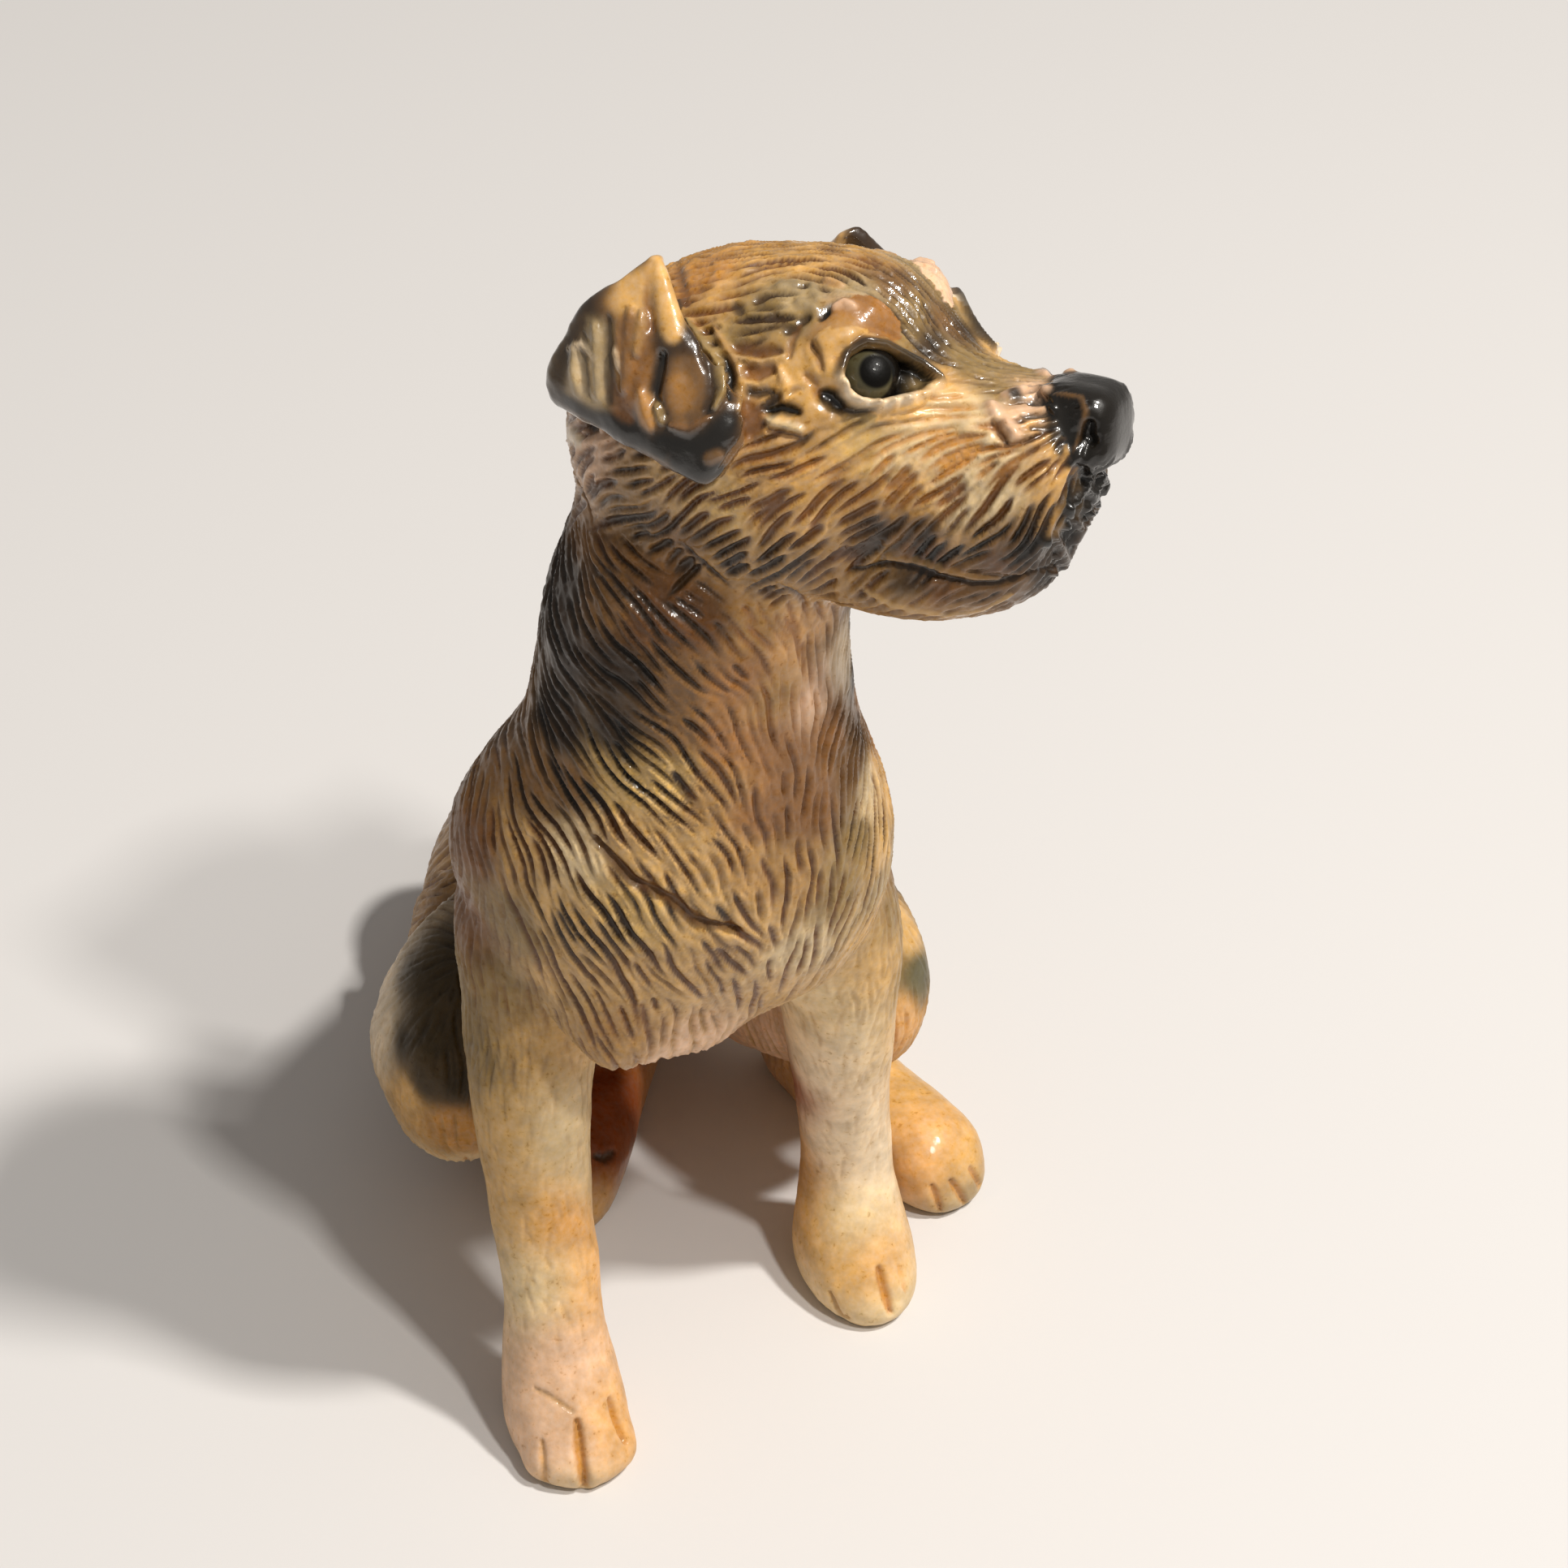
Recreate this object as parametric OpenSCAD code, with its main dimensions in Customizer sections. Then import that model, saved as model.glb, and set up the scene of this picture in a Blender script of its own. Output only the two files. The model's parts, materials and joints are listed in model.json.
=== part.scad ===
// Hand-built ceramic dog, sitting, with its head turned to its left.
// The clay pieces are luted together: each one is cut to the face of the piece that carries it.
// Millimetres, +Z up, the dog faces -Y and its left side is +X.
// The origin is the centre of the flat seat on the surface that the dog sits on.

/* [Torso] */
// Width across the rump
rump_w = 28; // [26:1:31]
// Width across the chest
chest_w = 39; // [36:1:43]
// Width of the neck
neck_w = 26; // [23:1:29]
// Depth of the neck from nape to throat
neck_d = 24; // [21:1:27]
// How far the rump reaches behind the seat centre
rump_reach = 17; // [15:1:21]
// How far the breast reaches ahead of the seat centre
chest_reach = 60; // [57:1:64]
// Height of the foremost point of the breast
chest_z = 62; // [59:1:66]
// Height of the upper end of the neck
neck_z = 97; // [94:1:101]
// How far the upper end of the neck lies ahead of the seat centre
neck_reach = 45; // [42:1:48]
// How far the neck leans to the dog's right
neck_lean = 2.5; // [0:0.5:5]
// Length of the flat seat from front to back
seat_l = 22; // [18:1:26]
// Thickness of the hollow body's wall
wall = 4.5; // [3.5:0.5:6]
// Diameter of the firing vents
vent_d = 3.5; // [2.5:0.5:4]

/* [Head] */
// Length of the head from the back of the skull to the lips
head_l = 46; // [43:1:49]
// How far the skull reaches behind its centre
skull_back = 15.5; // [14:0.5:17]
// Length of the muzzle from the stop to the lips
muzzle_l = 14; // [12.5:0.5:15.5]
// Width of the skull
skull_w = 29; // [26:1:32]
// Height of the skull
skull_h = 30; // [28:1:33]
// Width of the muzzle
muzzle_w = 16.5; // [14:0.5:19]
// Height of the muzzle above the mouth
muzzle_h = 18; // [16:0.5:20]
// Turn of the head to the dog's left, in degrees
head_turn = 48; // [40:1:56]
// Lift of the muzzle, in degrees
head_lift = 12; // [6:1:18]
// Tilt of the head, right side up, in degrees
head_tilt = 18; // [10:1:24]
// Diameter of the hollow in the skull
skull_hollow_d = 15; // [12:1:17]

/* [Face] */
// Diameter of an eyeball
eye_d = 5.6; // [5:0.2:6.4]
// Clearance of an eyeball in its socket
eye_gap = 0.1; // [0.05:0.05:0.3]
// Length of the opening between the lids
lid_l = 7; // [6.4:0.2:7.6]
// Height of the opening between the lids
lid_h = 3.5; // [3.1:0.2:4.3]
// Thickness of a lid
lid_t = 1.5; // [1.2:0.1:1.8]
// Thickness of a brow
brow_t = 3.4; // [2.6:0.2:4.2]
// Length of a brow
brow_l = 5; // [4:0.5:6]
// Width of the nose
nose_w = 8; // [7:0.1:9]
// Height of the nose
nose_h = 7; // [6.2:0.1:8]
// Length of the nose
nose_l = 7; // [6.4:0.1:8]
// Length of the lower jaw
jaw_l = 24; // [21:1:27]
// Width of the lower jaw
jaw_w = 15; // [13:0.5:17]
// Depth of the lower jaw below the mouth
jaw_h = 4; // [3.5:0.5:5]

/* [Ears] */
// Length of an ear from its fold to its tip
ear_l = 21; // [18:1:24]
// Length of the fold at the top of an ear
ear_fold = 16; // [13:1:18]
// Thickness of an ear
ear_t = 3.2; // [2.6:0.2:4]
// How far the fold of an ear stands off the skull
ear_lift = 3; // [2:0.5:4]

/* [Forelegs] */
// Distance between the forelegs, centre to centre
foreleg_gap = 34; // [32:1:36]
// How far the forelegs stand to the dog's left of the middle
foreleg_shift = 0.6; // [0:0.2:1.2]
// How far the right forepaw lies ahead of the seat centre
right_paw_reach = 58; // [55:0.5:60]
// How far the left forepaw lies ahead of the seat centre
left_paw_reach = 46; // [43:1:49]
// Width of the right foreleg above the paw
right_foreleg_w = 9.6; // [8.8:0.2:11.4]
// Width of the left foreleg above the paw
left_foreleg_w = 9.2; // [8:0.2:10]
// Width of a forepaw
forepaw_w = 12; // [10.6:0.2:13]
// Length of a forepaw
forepaw_l = 17; // [15:0.5:19]
// Height of a forepaw
forepaw_h = 9; // [7.5:0.5:10.5]

/* [Hind legs] */
// Width across both haunches
haunch_span = 54; // [51:1:57]
// Thickness of a haunch from side to side
haunch_w = 18; // [16:1:20]
// Length of a haunch from hip to knee
haunch_l = 44; // [41:1:47]
// How far the left knee lies further out than the right one
left_knee_out = 4; // [2:0.5:5]
// How far the left knee lies further ahead than the right one
left_knee_ahead = 3.5; // [2:0.5:5]
// How far the left knee lies higher than the right one
left_knee_up = 4; // [2:0.5:5]
// Height of a haunch
haunch_h = 31; // [28:1:34]
// Width of a hind foot
foot_w = 11; // [9.5:0.5:12.5]
// Length of a hind foot
foot_l = 26; // [24:1:29]
// Height of a hind foot
foot_h = 9.5; // [8:0.5:11]
// Turn of the left hind foot outwards, in degrees
left_foot_turn = 20; // [12:1:26]
// Turn of the right hind foot outwards, in degrees
right_foot_turn = 33; // [28:1:38]

/* [Tail] */
// Length of the tail behind the rump
tail_l = 17; // [14:1:20]
// Thickness of the tail at its root
tail_d = 10; // [8.5:0.5:11.5]

/* [Hidden] */
// Facets round a large form, round a small form, and rings between two stations
sides = 24;
small_sides = 16;
steps = 2;
// Depth of the cut that flattens what stands on the surface
ground = 20;
span = 200;
buff = "#d9b27c";
tan_clay = "#c68f4e";
dark_clay = "#4a3524";
black_clay = "#15120f";
cream = "#ead9b8";

// Trunk stations from seat to neck: back point [y, z], front point [y, z], half width, sideways lean,
// taper towards the back and squareness of the front
nape = -neck_reach + neck_d / 2;
throat = -neck_reach - neck_d / 2;
trunk = [
  [rump_reach - 7, -4, -seat_l / 2 + 2, -4, rump_w / 2 - 3.5, 0, 0, 2],
  [rump_reach - 2, 6, -seat_l / 2 - 2, 4, rump_w / 2 - 0.5, 0, 0, 2],
  [rump_reach, 17, -seat_l / 2 - 8, 13, rump_w / 2, 0, 0, 2],
  [rump_reach - 3, 29, -27, 23, rump_w / 2 - 0.5, 0, 0, 2],
  [rump_reach - 12, 38, -chest_reach + 24, chest_z - 30, rump_w / 2, 0, 0.1, 2.2],
  [rump_reach - 23, 46.5, -chest_reach + 14, chest_z - 23, chest_w / 2 - 3, -neck_lean * 0.3, 0.24, 2.6],
  [-19, chest_z - 5, -chest_reach + 4, chest_z - 12.5, chest_w / 2 - 0.5, -neck_lean * 0.6, 0.26, 2.5],
  [-26, chest_z + 5, -chest_reach, chest_z, chest_w / 2 - 0.5, -neck_lean * 0.8, 0.2, 2.3],
  [nape + 3, neck_z - 20, -chest_reach + 0.5, neck_z - 24, chest_w / 2 - 4, -neck_lean, 0.1, 2],
  [nape + 1.5, neck_z - 12, throat - 1, neck_z - 15, neck_w / 2 + 0.8, -neck_lean, 0, 2],
  [nape, neck_z - 4, throat, neck_z - 7, neck_w / 2 + 0.5, -neck_lean, 0, 2],
  [nape - 2, neck_z + 3, throat + 1, neck_z, neck_w / 2 - 0.5, -neck_lean * 0.6, 0, 2],
  [nape - 6, neck_z + 7, throat + 6, neck_z + 6, neck_w / 2 - 5, 0, 0, 2]
];

// Smooth curve through a list of stations, u counts the stations
function blend(a, b, c, d, t) =
  0.5 * (2 * b + (c - a) * t + (2 * a - 5 * b + 4 * c - d) * t * t + (3 * b - a - 3 * c + d) * t * t * t);
function station(list, u) =
  let (last = len(list) - 1, i = min(floor(u), last - 1))
  blend(list[max(i - 1, 0)], list[i], list[i + 1], list[min(i + 2, last)], u - i);
function stations(list) = [for (k = [0 : steps * (len(list) - 1)]) station(list, k / steps)];

// Cosine and sine bent towards a square as n grows past 2
function bent(v, n) = sign(v) * pow(abs(v), 2 / n);

// Solid skin through rings that run anticlockwise seen from the end that the loft grows towards;
// a mirrored form has its faces turned round
module loft(rings, mirrored = false) {
  m = len(rings);
  n = len(rings[0]);
  skin = [
    for (i = [0 : m - 2], k = [0 : n - 1])
      let (a = i * n + k, b = i * n + (k + 1) % n)
        each [[a, a + n, b], [b, a + n, b + n]]
  ];
  start = [for (k = [0 : n - 1]) k];
  end = [for (k = [n - 1 : -1 : 0]) (m - 1) * n + k];
  faces = concat([start], skin, [end]);
  turned = [for (face = faces) [for (k = [len(face) - 1 : -1 : 0]) face[k]]];
  polyhedron(points = [for (ring = rings) each ring], faces = mirrored ? turned : faces);
}

// Ring of the trunk, drawn in by an inset
function trunk_ring(s, inset, count) =
  let (
    back = [s[0], s[1]],
    front = [s[2], s[3]],
    mid = (back + front) / 2,
    arm = (back - front) / 2,
    reach = arm * (1 - inset / norm(arm)),
    half = s[4] - inset
  )
  [for (k = [0 : count - 1])
    let (
      a = 360 * k / count,
      n = cos(a) < 0 ? s[7] : 2,
      p = mid + reach * bent(cos(a), n),
      x = half * bent(sin(a), n) * (1 - s[6] * max(cos(a), 0))
    )
      [s[5] - x, p[0], p[1]]];

module trunk_form() {
  loft([for (s = stations(trunk)) trunk_ring(s, 0, sides)]);
}

// Hollow of the trunk, from one wall above the seat to one wall below the neck's end
module trunk_hollow() {
  inner = [for (u = [1 : 1 / steps : len(trunk) - 2]) trunk_ring(station(trunk, u), wall, small_sides)];
  difference() {
    loft(inner);
    translate([-span / 2, -span / 2, wall - span])
      cube(span);
  }
}

module below_ground() {
  translate([-span / 2, -span / 2, -ground])
    cube([span, span, ground]);
}

// Head frame: centre of the skull, muzzle towards -Y
head_centre = [5 - neck_lean, -neck_reach + 2, neck_z + 9.5];
module head_frame() {
  translate(head_centre)
    rotate([0, 0, head_turn])
      rotate([-head_lift, 0, 0])
        rotate([0, head_tilt, 0])
          children();
}

// Head stations from the back of the skull to the lips: y, top, bottom, half width, squareness
lip_y = skull_back - head_l;
stop_y = lip_y + muzzle_l;
muzzle_top = skull_h / 2 - 8.5;
mouth_z = muzzle_top - muzzle_h;
head = [
  [skull_back, 3, -5, 5, 2],
  [skull_back - 3, skull_h / 2 - 6, -skull_h / 2 + 5, skull_w / 2 - 4.5, 2],
  [skull_back - 9, skull_h / 2 - 1.5, -skull_h / 2 + 1, skull_w / 2 - 1, 2],
  [0, skull_h / 2, -skull_h / 2, skull_w / 2, 2.1],
  [stop_y + 9, skull_h / 2, -skull_h / 2 + 0.5, skull_w / 2 - 0.5, 2.2],
  [stop_y + 4, skull_h / 2 - 0.9, mouth_z, skull_w / 2 - 2.5, 2.3],
  [stop_y, skull_h / 2 - 4.8, mouth_z - 0.3, muzzle_w / 2 + 1.8, 2.4],
  [stop_y - 3.5, muzzle_top + 0.4, mouth_z, muzzle_w / 2 + 0.6, 2.6],
  [stop_y - 7, muzzle_top - 0.6, mouth_z + 0.3, muzzle_w / 2, 2.7],
  [lip_y + 4, muzzle_top - 1.4, mouth_z + 1, muzzle_w / 2 - 0.6, 2.8],
  [lip_y + 1.2, muzzle_top - 2.4, mouth_z + 2.4, muzzle_w / 2 - 1.8, 2.7],
  [lip_y, muzzle_top - 5, mouth_z + 5, muzzle_w / 2 - 4, 2.4]
];

// Point on a ring that stands across the Y axis, at an angle from the top towards +X
function cross_point(s, a) =
  [s[3] * bent(sin(a), s[4]), s[0], (s[1] + s[2]) / 2 + (s[1] - s[2]) / 2 * bent(cos(a), s[4])];
function cross_ring(s, count) = [for (k = [0 : count - 1]) cross_point(s, -360 * k / count)];

module head_form() {
  loft([for (s = stations(head)) cross_ring(s, sides)]);
}

// Where the eyes look out: station along the head and angle from the top
right = -1;
left = 1;
eye_station = 5.6;
eye_angle = 56;
eye_bulge = 1.2;
function face_point(u, a) = cross_point(station(head, u), a);
function face_normal(u, a) =
  let (
    along = face_point(u + 0.1, a) - face_point(u - 0.1, a),
    around = face_point(u, a + 2) - face_point(u, a - 2),
    out = cross(along, around)
  )
  out / norm(out);
function eye_centre(side) =
  face_point(eye_station, side * eye_angle)
  - face_normal(eye_station, side * eye_angle) * (eye_d / 2 - eye_bulge);

module eyeball_form(side, extra) {
  translate(eye_centre(side))
    sphere(d = eye_d + 2 * extra, $fn = 48);
}

// Round bar along a path, with its own radius at each point
function bar_rings(path, radii, count) =
  [for (i = [0 : len(path) - 1])
    let (
      ahead = path[min(i + 1, len(path) - 1)] - path[max(i - 1, 0)],
      z = ahead / norm(ahead),
      helper = abs(z[2]) < 0.9 ? [0, 0, 1] : [1, 0, 0],
      x = cross(helper, z) / norm(cross(helper, z)),
      y = cross(z, x)
    )
    [for (k = [0 : count - 1])
      path[i] + radii[i] * (x * cos(360 * k / count) + y * sin(360 * k / count))]];

// Ring of clay round the eye, an almond that follows the face
lid_points = 24;
lid_facets = 8;
lid_slant = 11;
lid_lift = 0.22;
// Length of one station step along the face, and of one degree round it, beside the eye
station_l = 4.4;
degree_l = 0.25;
module lid_form(side) {
  path = [
    for (k = [0 : lid_points - 1])
      let (
        a = 360 * k / lid_points,
        ahead = (lid_l + lid_t) / 2 * cos(a),
        above = (lid_h + lid_t) / 2 * sin(a),
        u = eye_station + (ahead * cos(lid_slant) - above * sin(lid_slant)) / station_l,
        v = eye_angle - (above * cos(lid_slant) + ahead * sin(lid_slant)) / degree_l
      )
        face_point(u, side * v) + lid_lift * lid_t * face_normal(u, side * v)
  ];
  rings = [
    for (k = [0 : lid_points - 1])
      let (
        ahead = path[(k + 1) % lid_points] - path[(k + lid_points - 1) % lid_points],
        z = ahead / norm(ahead),
        x = cross(face_normal(eye_station, side * eye_angle), z) * side,
        y = cross(z, x)
      )
        [for (j = [0 : lid_facets - 1])
          let (b = 360 * j / lid_facets)
            path[k] + lid_t / 2 * (x * cos(b) / norm(x) + y * sin(b) / norm(y))]
  ];
  skin = [
    for (i = [0 : lid_points - 1], k = [0 : lid_facets - 1])
      let (
        next = (i + 1) % lid_points,
        a = i * lid_facets + k,
        b = i * lid_facets + (k + 1) % lid_facets,
        c = next * lid_facets + k,
        d = next * lid_facets + (k + 1) % lid_facets
      )
        each [[a, c, b], [b, c, d]]
  ];
  polyhedron(points = [for (ring = rings) each ring], faces = skin);
}

brow_station = 5.2;
brow_angle = 33;
module brow_form(side) {
  mid = face_point(brow_station, side * brow_angle);
  inner = face_point(brow_station + brow_l / 2 / station_l, side * (brow_angle - 6));
  outer = face_point(brow_station - brow_l / 2 / station_l, side * (brow_angle + 10));
  path = [for (u = [0 : 0.5 : 2]) station([outer, mid, inner], u)];
  radii = [for (i = [0 : 4]) brow_t / 2 * (0.45 + 0.55 * sin(45 * i))];
  loft(bar_rings(path, radii, 10));
}

nose_y = lip_y + 3.9;
nose_top = muzzle_top - 0.7;
nose = [
  [nose_y, nose_top - 1.5, nose_top - nose_h + 2, nose_w / 2 - 1.4, 2.6],
  [nose_y - nose_l * 0.25, nose_top - 0.1, nose_top - nose_h + 0.6, nose_w / 2 - 0.3, 3],
  [nose_y - nose_l * 0.6, nose_top, nose_top - nose_h, nose_w / 2, 3.2],
  [nose_y - nose_l * 0.88, nose_top - 0.8, nose_top - nose_h + 0.7, nose_w / 2 - 0.9, 2.8],
  [nose_y - nose_l, nose_top - 2.6, nose_top - nose_h + 2.6, nose_w / 2 - 2.6, 2.2]
];
module nose_form() {
  loft([for (s = stations(nose)) cross_ring(s, small_sides)]);
}

jaw_y = lip_y + 3;
jaw_back = jaw_y + jaw_l;
jaw = [
  [jaw_back, mouth_z + 3, mouth_z - jaw_h * 0.3, jaw_w / 2 - 2, 2.2],
  [jaw_back - jaw_l * 0.3, mouth_z + 4, mouth_z - jaw_h * 0.9, jaw_w / 2, 2.3],
  [jaw_back - jaw_l * 0.62, mouth_z + 4, mouth_z - jaw_h, jaw_w / 2 - 0.4, 2.4],
  [jaw_back - jaw_l * 0.88, mouth_z + 4.5, mouth_z - jaw_h * 0.62, jaw_w / 2 - 1.8, 2.3],
  [jaw_y, mouth_z + 4, mouth_z - jaw_h * 0.05, jaw_w / 2 - 4, 2.2]
];
module jaw_form() {
  loft([for (s = stations(jaw)) cross_ring(s, small_sides)]);
}

// Flattened ring round the segment from p to q, with a thickness along an outward direction
function flap_ring(p, q, thick, out) =
  [for (k = [0 : small_sides - 1])
    let (a = 360 * k / small_sides)
      (p + q) / 2 + (p - q) / 2 * bent(cos(a), 2.6) + out * thick / 2 * sin(a)];

// Ear: root in the skull, fold, hanging leaf, front rim; x grows outwards on the ear's own side
right_ear_station = 2.75;
left_ear_station = 3.45;
right_ear_angle = 41;
left_ear_angle = 53;
module ear_form(side) {
  seat = side == right
    ? face_point(right_ear_station, right_ear_angle)
    : face_point(left_ear_station, left_ear_angle);
  top = seat + [ear_lift, 0.5, ear_lift + 2];
  back = top + [1.2, ear_fold * 0.62, -ear_fold * 0.78];
  tip = top + [4.2, -ear_l * 0.25, -ear_l * 0.86];
  rim = top + [2.6, -ear_l * 0.38, -ear_l * 0.5];
  flap = [
    [seat + [-4, -1, -2], seat + [-3.4, 7, -8], ear_t * 0.9, [0.5, 0, 0.86]],
    [top + [-0.6, 0, -0.4], back + [-1.4, -1.5, 0.5], ear_t * 0.95, [0.7, 0, 0.7]],
    [top + [1, -1.5, -1.4], back + [0.8, -1, -0.6], ear_t, [0.95, 0, 0.3]],
    [top * 0.55 + rim * 0.45 + [1.2, 0, 0], (back + tip) / 2 + [1.2, 0, 0], ear_t, [0.95, 0, 0.3]],
    [rim, tip, ear_t * 0.8, [1, 0, 0]],
    [rim * 0.7 + tip * 0.3 + [0, -1, 0], rim * 0.25 + tip * 0.75 + [0, -1, 0], ear_t * 0.3, [1, 0, 0]]
  ];
  rings = [for (s = stations(flap)) flap_ring(s[0], s[1], s[2], s[3])];
  loft([for (ring = rings) [for (p = ring) [side * p[0], p[1], p[2]]]], side == left);
}

// Foreleg rings: x, y, z, half width, half length, from the sole to inside the shoulder
shoulder_y = -chest_reach + 19;
shoulder_z = chest_z - 4;
module foreleg_form(side) {
  reach = side == right ? right_paw_reach : left_paw_reach;
  w = (side == right ? right_foreleg_w : left_foreleg_w) / 2;
  x = side * foreleg_gap / 2 + foreleg_shift;
  top_x = side * (chest_w / 2 - 6.8) - neck_lean * 0.6;
  paw_y = -reach;
  heel_y = paw_y + forepaw_l / 2;
  knee_z = forepaw_h + 14;
  leg = [
    [x, paw_y, -1.5, forepaw_w / 2 - 1.2, forepaw_l / 2 - 1.2],
    [x, paw_y, 2.5, forepaw_w / 2, forepaw_l / 2],
    [x, paw_y + 1.5, forepaw_h * 0.66, forepaw_w / 2 - 0.2, forepaw_l / 2 - 1.4],
    [x, heel_y - 4.6, forepaw_h + 1.5, w + 0.2, w + 1],
    [x, heel_y - 3.6, forepaw_h + 5, w, w + 0.2],
    [x * 0.97 - 0.8, heel_y * 0.6 + shoulder_y * 0.4 - 3, knee_z, w + 0.2, w + 0.4],
    [x * 0.93 - neck_lean * 0.6, heel_y * 0.25 + shoulder_y * 0.75 - 2, chest_z - 27, w + 1, w + 2],
    [(x + top_x) / 2, shoulder_y + 0.5, chest_z - 17, w + 1.8, w + 4.4],
    [top_x, shoulder_y + 1, shoulder_z, w + 1.4, w + 4.4],
    [top_x - side * 3, shoulder_y + 1, shoulder_z + 8, w - 2, w]
  ];
  loft([for (s = stations(leg))
    [for (k = [0 : small_sides - 1])
      let (a = 360 * k / small_sides)
        [s[0] - s[3] * sin(a), s[1] + s[4] * cos(a), s[2]]]]);
}

// Haunch stations from hip to knee: x, y, z, half width, half height
hip_y = 9;
module haunch_form(side) {
  knee_x = haunch_span / 2 - haunch_w / 2 + (side == left ? left_knee_out : 0);
  l = haunch_l + (side == left ? left_knee_ahead : 0);
  w = haunch_w / 2;
  h = haunch_h / 2;
  up = side == left ? left_knee_up : 0;
  haunch = [
    [knee_x - 13, hip_y, h - 1.5, w * 0.3, h * 0.3],
    [knee_x - 11, hip_y - l * 0.1, h - 0.5, w * 0.72, h * 0.66],
    [knee_x - 8, hip_y - l * 0.3, h + 1 + up * 0.2, w * 0.92, h * 0.87],
    [knee_x - 4, hip_y - l * 0.55, h + 3 + up * 0.6, w, h * 0.96],
    [knee_x - 0.9, hip_y - l * 0.76, h + 4.5 + up, w * 0.92, h * 0.86],
    [knee_x, hip_y - l * 0.92, h + 5.5 + up, w * 0.68, h * 0.58],
    [knee_x, hip_y - l, h + 5.5 + up, w * 0.24, h * 0.2]
  ];
  loft([for (s = stations(haunch))
    [for (k = [0 : sides - 1])
      let (a = 360 * k / sides)
        [side * s[0] - s[3] * sin(a), s[1], s[2] + s[4] * cos(a)]]]);
}

// Hind foot stations along its own -Y: y, top, bottom, half width, squareness
module foot_form(side, x, y, turn) {
  foot = [
    [5, foot_h * 0.5, 0, foot_w / 2 - 3.4, 2.1],
    [2.5, foot_h * 0.82, -1, foot_w / 2 - 1.6, 2.2],
    [-foot_l * 0.15, foot_h, -1.5, foot_w / 2 - 0.8, 2.3],
    [-foot_l * 0.5, foot_h * 0.98, -1.5, foot_w / 2 - 0.4, 2.4],
    [-foot_l * 0.8, foot_h * 0.95, -1.5, foot_w / 2, 2.5],
    [-foot_l * 0.94, foot_h * 0.72, -1.2, foot_w / 2 - 1.2, 2.4],
    [-foot_l, foot_h * 0.35, -0.6, foot_w / 2 - 3.4, 2.2]
  ];
  translate([side * x, y, 0])
    rotate([0, 0, turn])
      loft([for (s = stations(foot)) cross_ring(s, small_sides)]);
}
right_foot_x = 1.5 - foot_w / 2;
right_foot_y = -11;
left_foot_y = -16.5;
left_foot_x = haunch_span / 2 - 4.6;

// Tail along the surface, curled a little to the left
module tail_form() {
  root = [0, rump_reach - 5, tail_d * 0.9];
  path = [root, root + [0.5, 6, -2], root + [3, tail_l * 0.6, -tail_d * 0.45],
    root + [7, tail_l * 0.9, -tail_d * 0.55], root + [10, tail_l + 5, -tail_d * 0.6]];
  radii = [[tail_d / 2], [tail_d / 2], [tail_d * 0.43], [tail_d * 0.36], [tail_d * 0.18]];
  loft(bar_rings(stations(path), [for (r = stations(radii)) r[0]], 14));
}

module torso() {
  color(buff)
    difference() {
      trunk_form();
      trunk_hollow();
      below_ground();
      translate([0, seat_l / 4, -1])
        cylinder(d = vent_d, h = wall + 3, $fn = 32);
      neck_vent();
    }
}

// Passage that joins the hollow of the skull to the hollow of the body
module neck_vent() {
  translate([-neck_lean, -neck_reach, neck_z - 2 * wall])
    cylinder(d = vent_d, h = head_centre[2] - neck_z + 2 * wall, $fn = 32);
}

module skull() {
  color(tan_clay)
    difference() {
      head_frame() head_form();
      trunk_form();
      head_frame() translate([0, 1, 2]) sphere(d = skull_hollow_d, $fn = 48);
      neck_vent();
      for (side = [right, left])
        head_frame() eyeball_form(side, eye_gap);
    }
}

module lower_jaw() {
  color(dark_clay)
    difference() {
      head_frame() jaw_form();
      head_frame() head_form();
      trunk_form();
    }
}

module nose() {
  color(black_clay)
    difference() {
      head_frame() nose_form();
      head_frame() head_form();
    }
}

module eyeball(side) {
  color(black_clay)
    head_frame() eyeball_form(side, 0);
}

module eyelids(side) {
  color(cream)
    difference() {
      head_frame() lid_form(side);
      head_frame() head_form();
      head_frame() eyeball_form(side, eye_gap);
    }
}

module brow(side) {
  color(tan_clay)
    difference() {
      head_frame() brow_form(side);
      head_frame() head_form();
      head_frame() lid_form(side);
      head_frame() eyeball_form(side, eye_gap);
    }
}

module ear(side) {
  color(dark_clay)
    difference() {
      head_frame() ear_form(side);
      head_frame() head_form();
      trunk_form();
    }
}

module foreleg(side) {
  color(buff)
    difference() {
      foreleg_form(side);
      trunk_form();
      below_ground();
    }
}

module haunch(side) {
  color(buff)
    difference() {
      haunch_form(side);
      trunk_form();
      foreleg_form(side);
      below_ground();
    }
}

module hind_foot(side, x, y, turn) {
  color(cream)
    difference() {
      foot_form(side, x, y, turn);
      trunk_form();
      haunch_form(side);
      foreleg_form(side);
      below_ground();
    }
}

module tail() {
  color(dark_clay)
    difference() {
      tail_form();
      trunk_form();
      below_ground();
    }
}

torso();
skull();
lower_jaw();
nose();
eyeball(right);  // right_eyeball
eyeball(left);  // left_eyeball
eyelids(right);  // right_eyelids
eyelids(left);  // left_eyelids
brow(right);  // right_brow
brow(left);  // left_brow
ear(right);  // right_ear
ear(left);  // left_ear
foreleg(right);  // right_foreleg
foreleg(left);  // left_foreleg
haunch(right);  // right_haunch
haunch(left);  // left_haunch
hind_foot(right, right_foot_x, right_foot_y, -right_foot_turn);  // right_hind_foot
hind_foot(left, left_foot_x, left_foot_y, left_foot_turn);  // left_hind_foot
tail();
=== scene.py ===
import json
import math
from itertools import product

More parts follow.
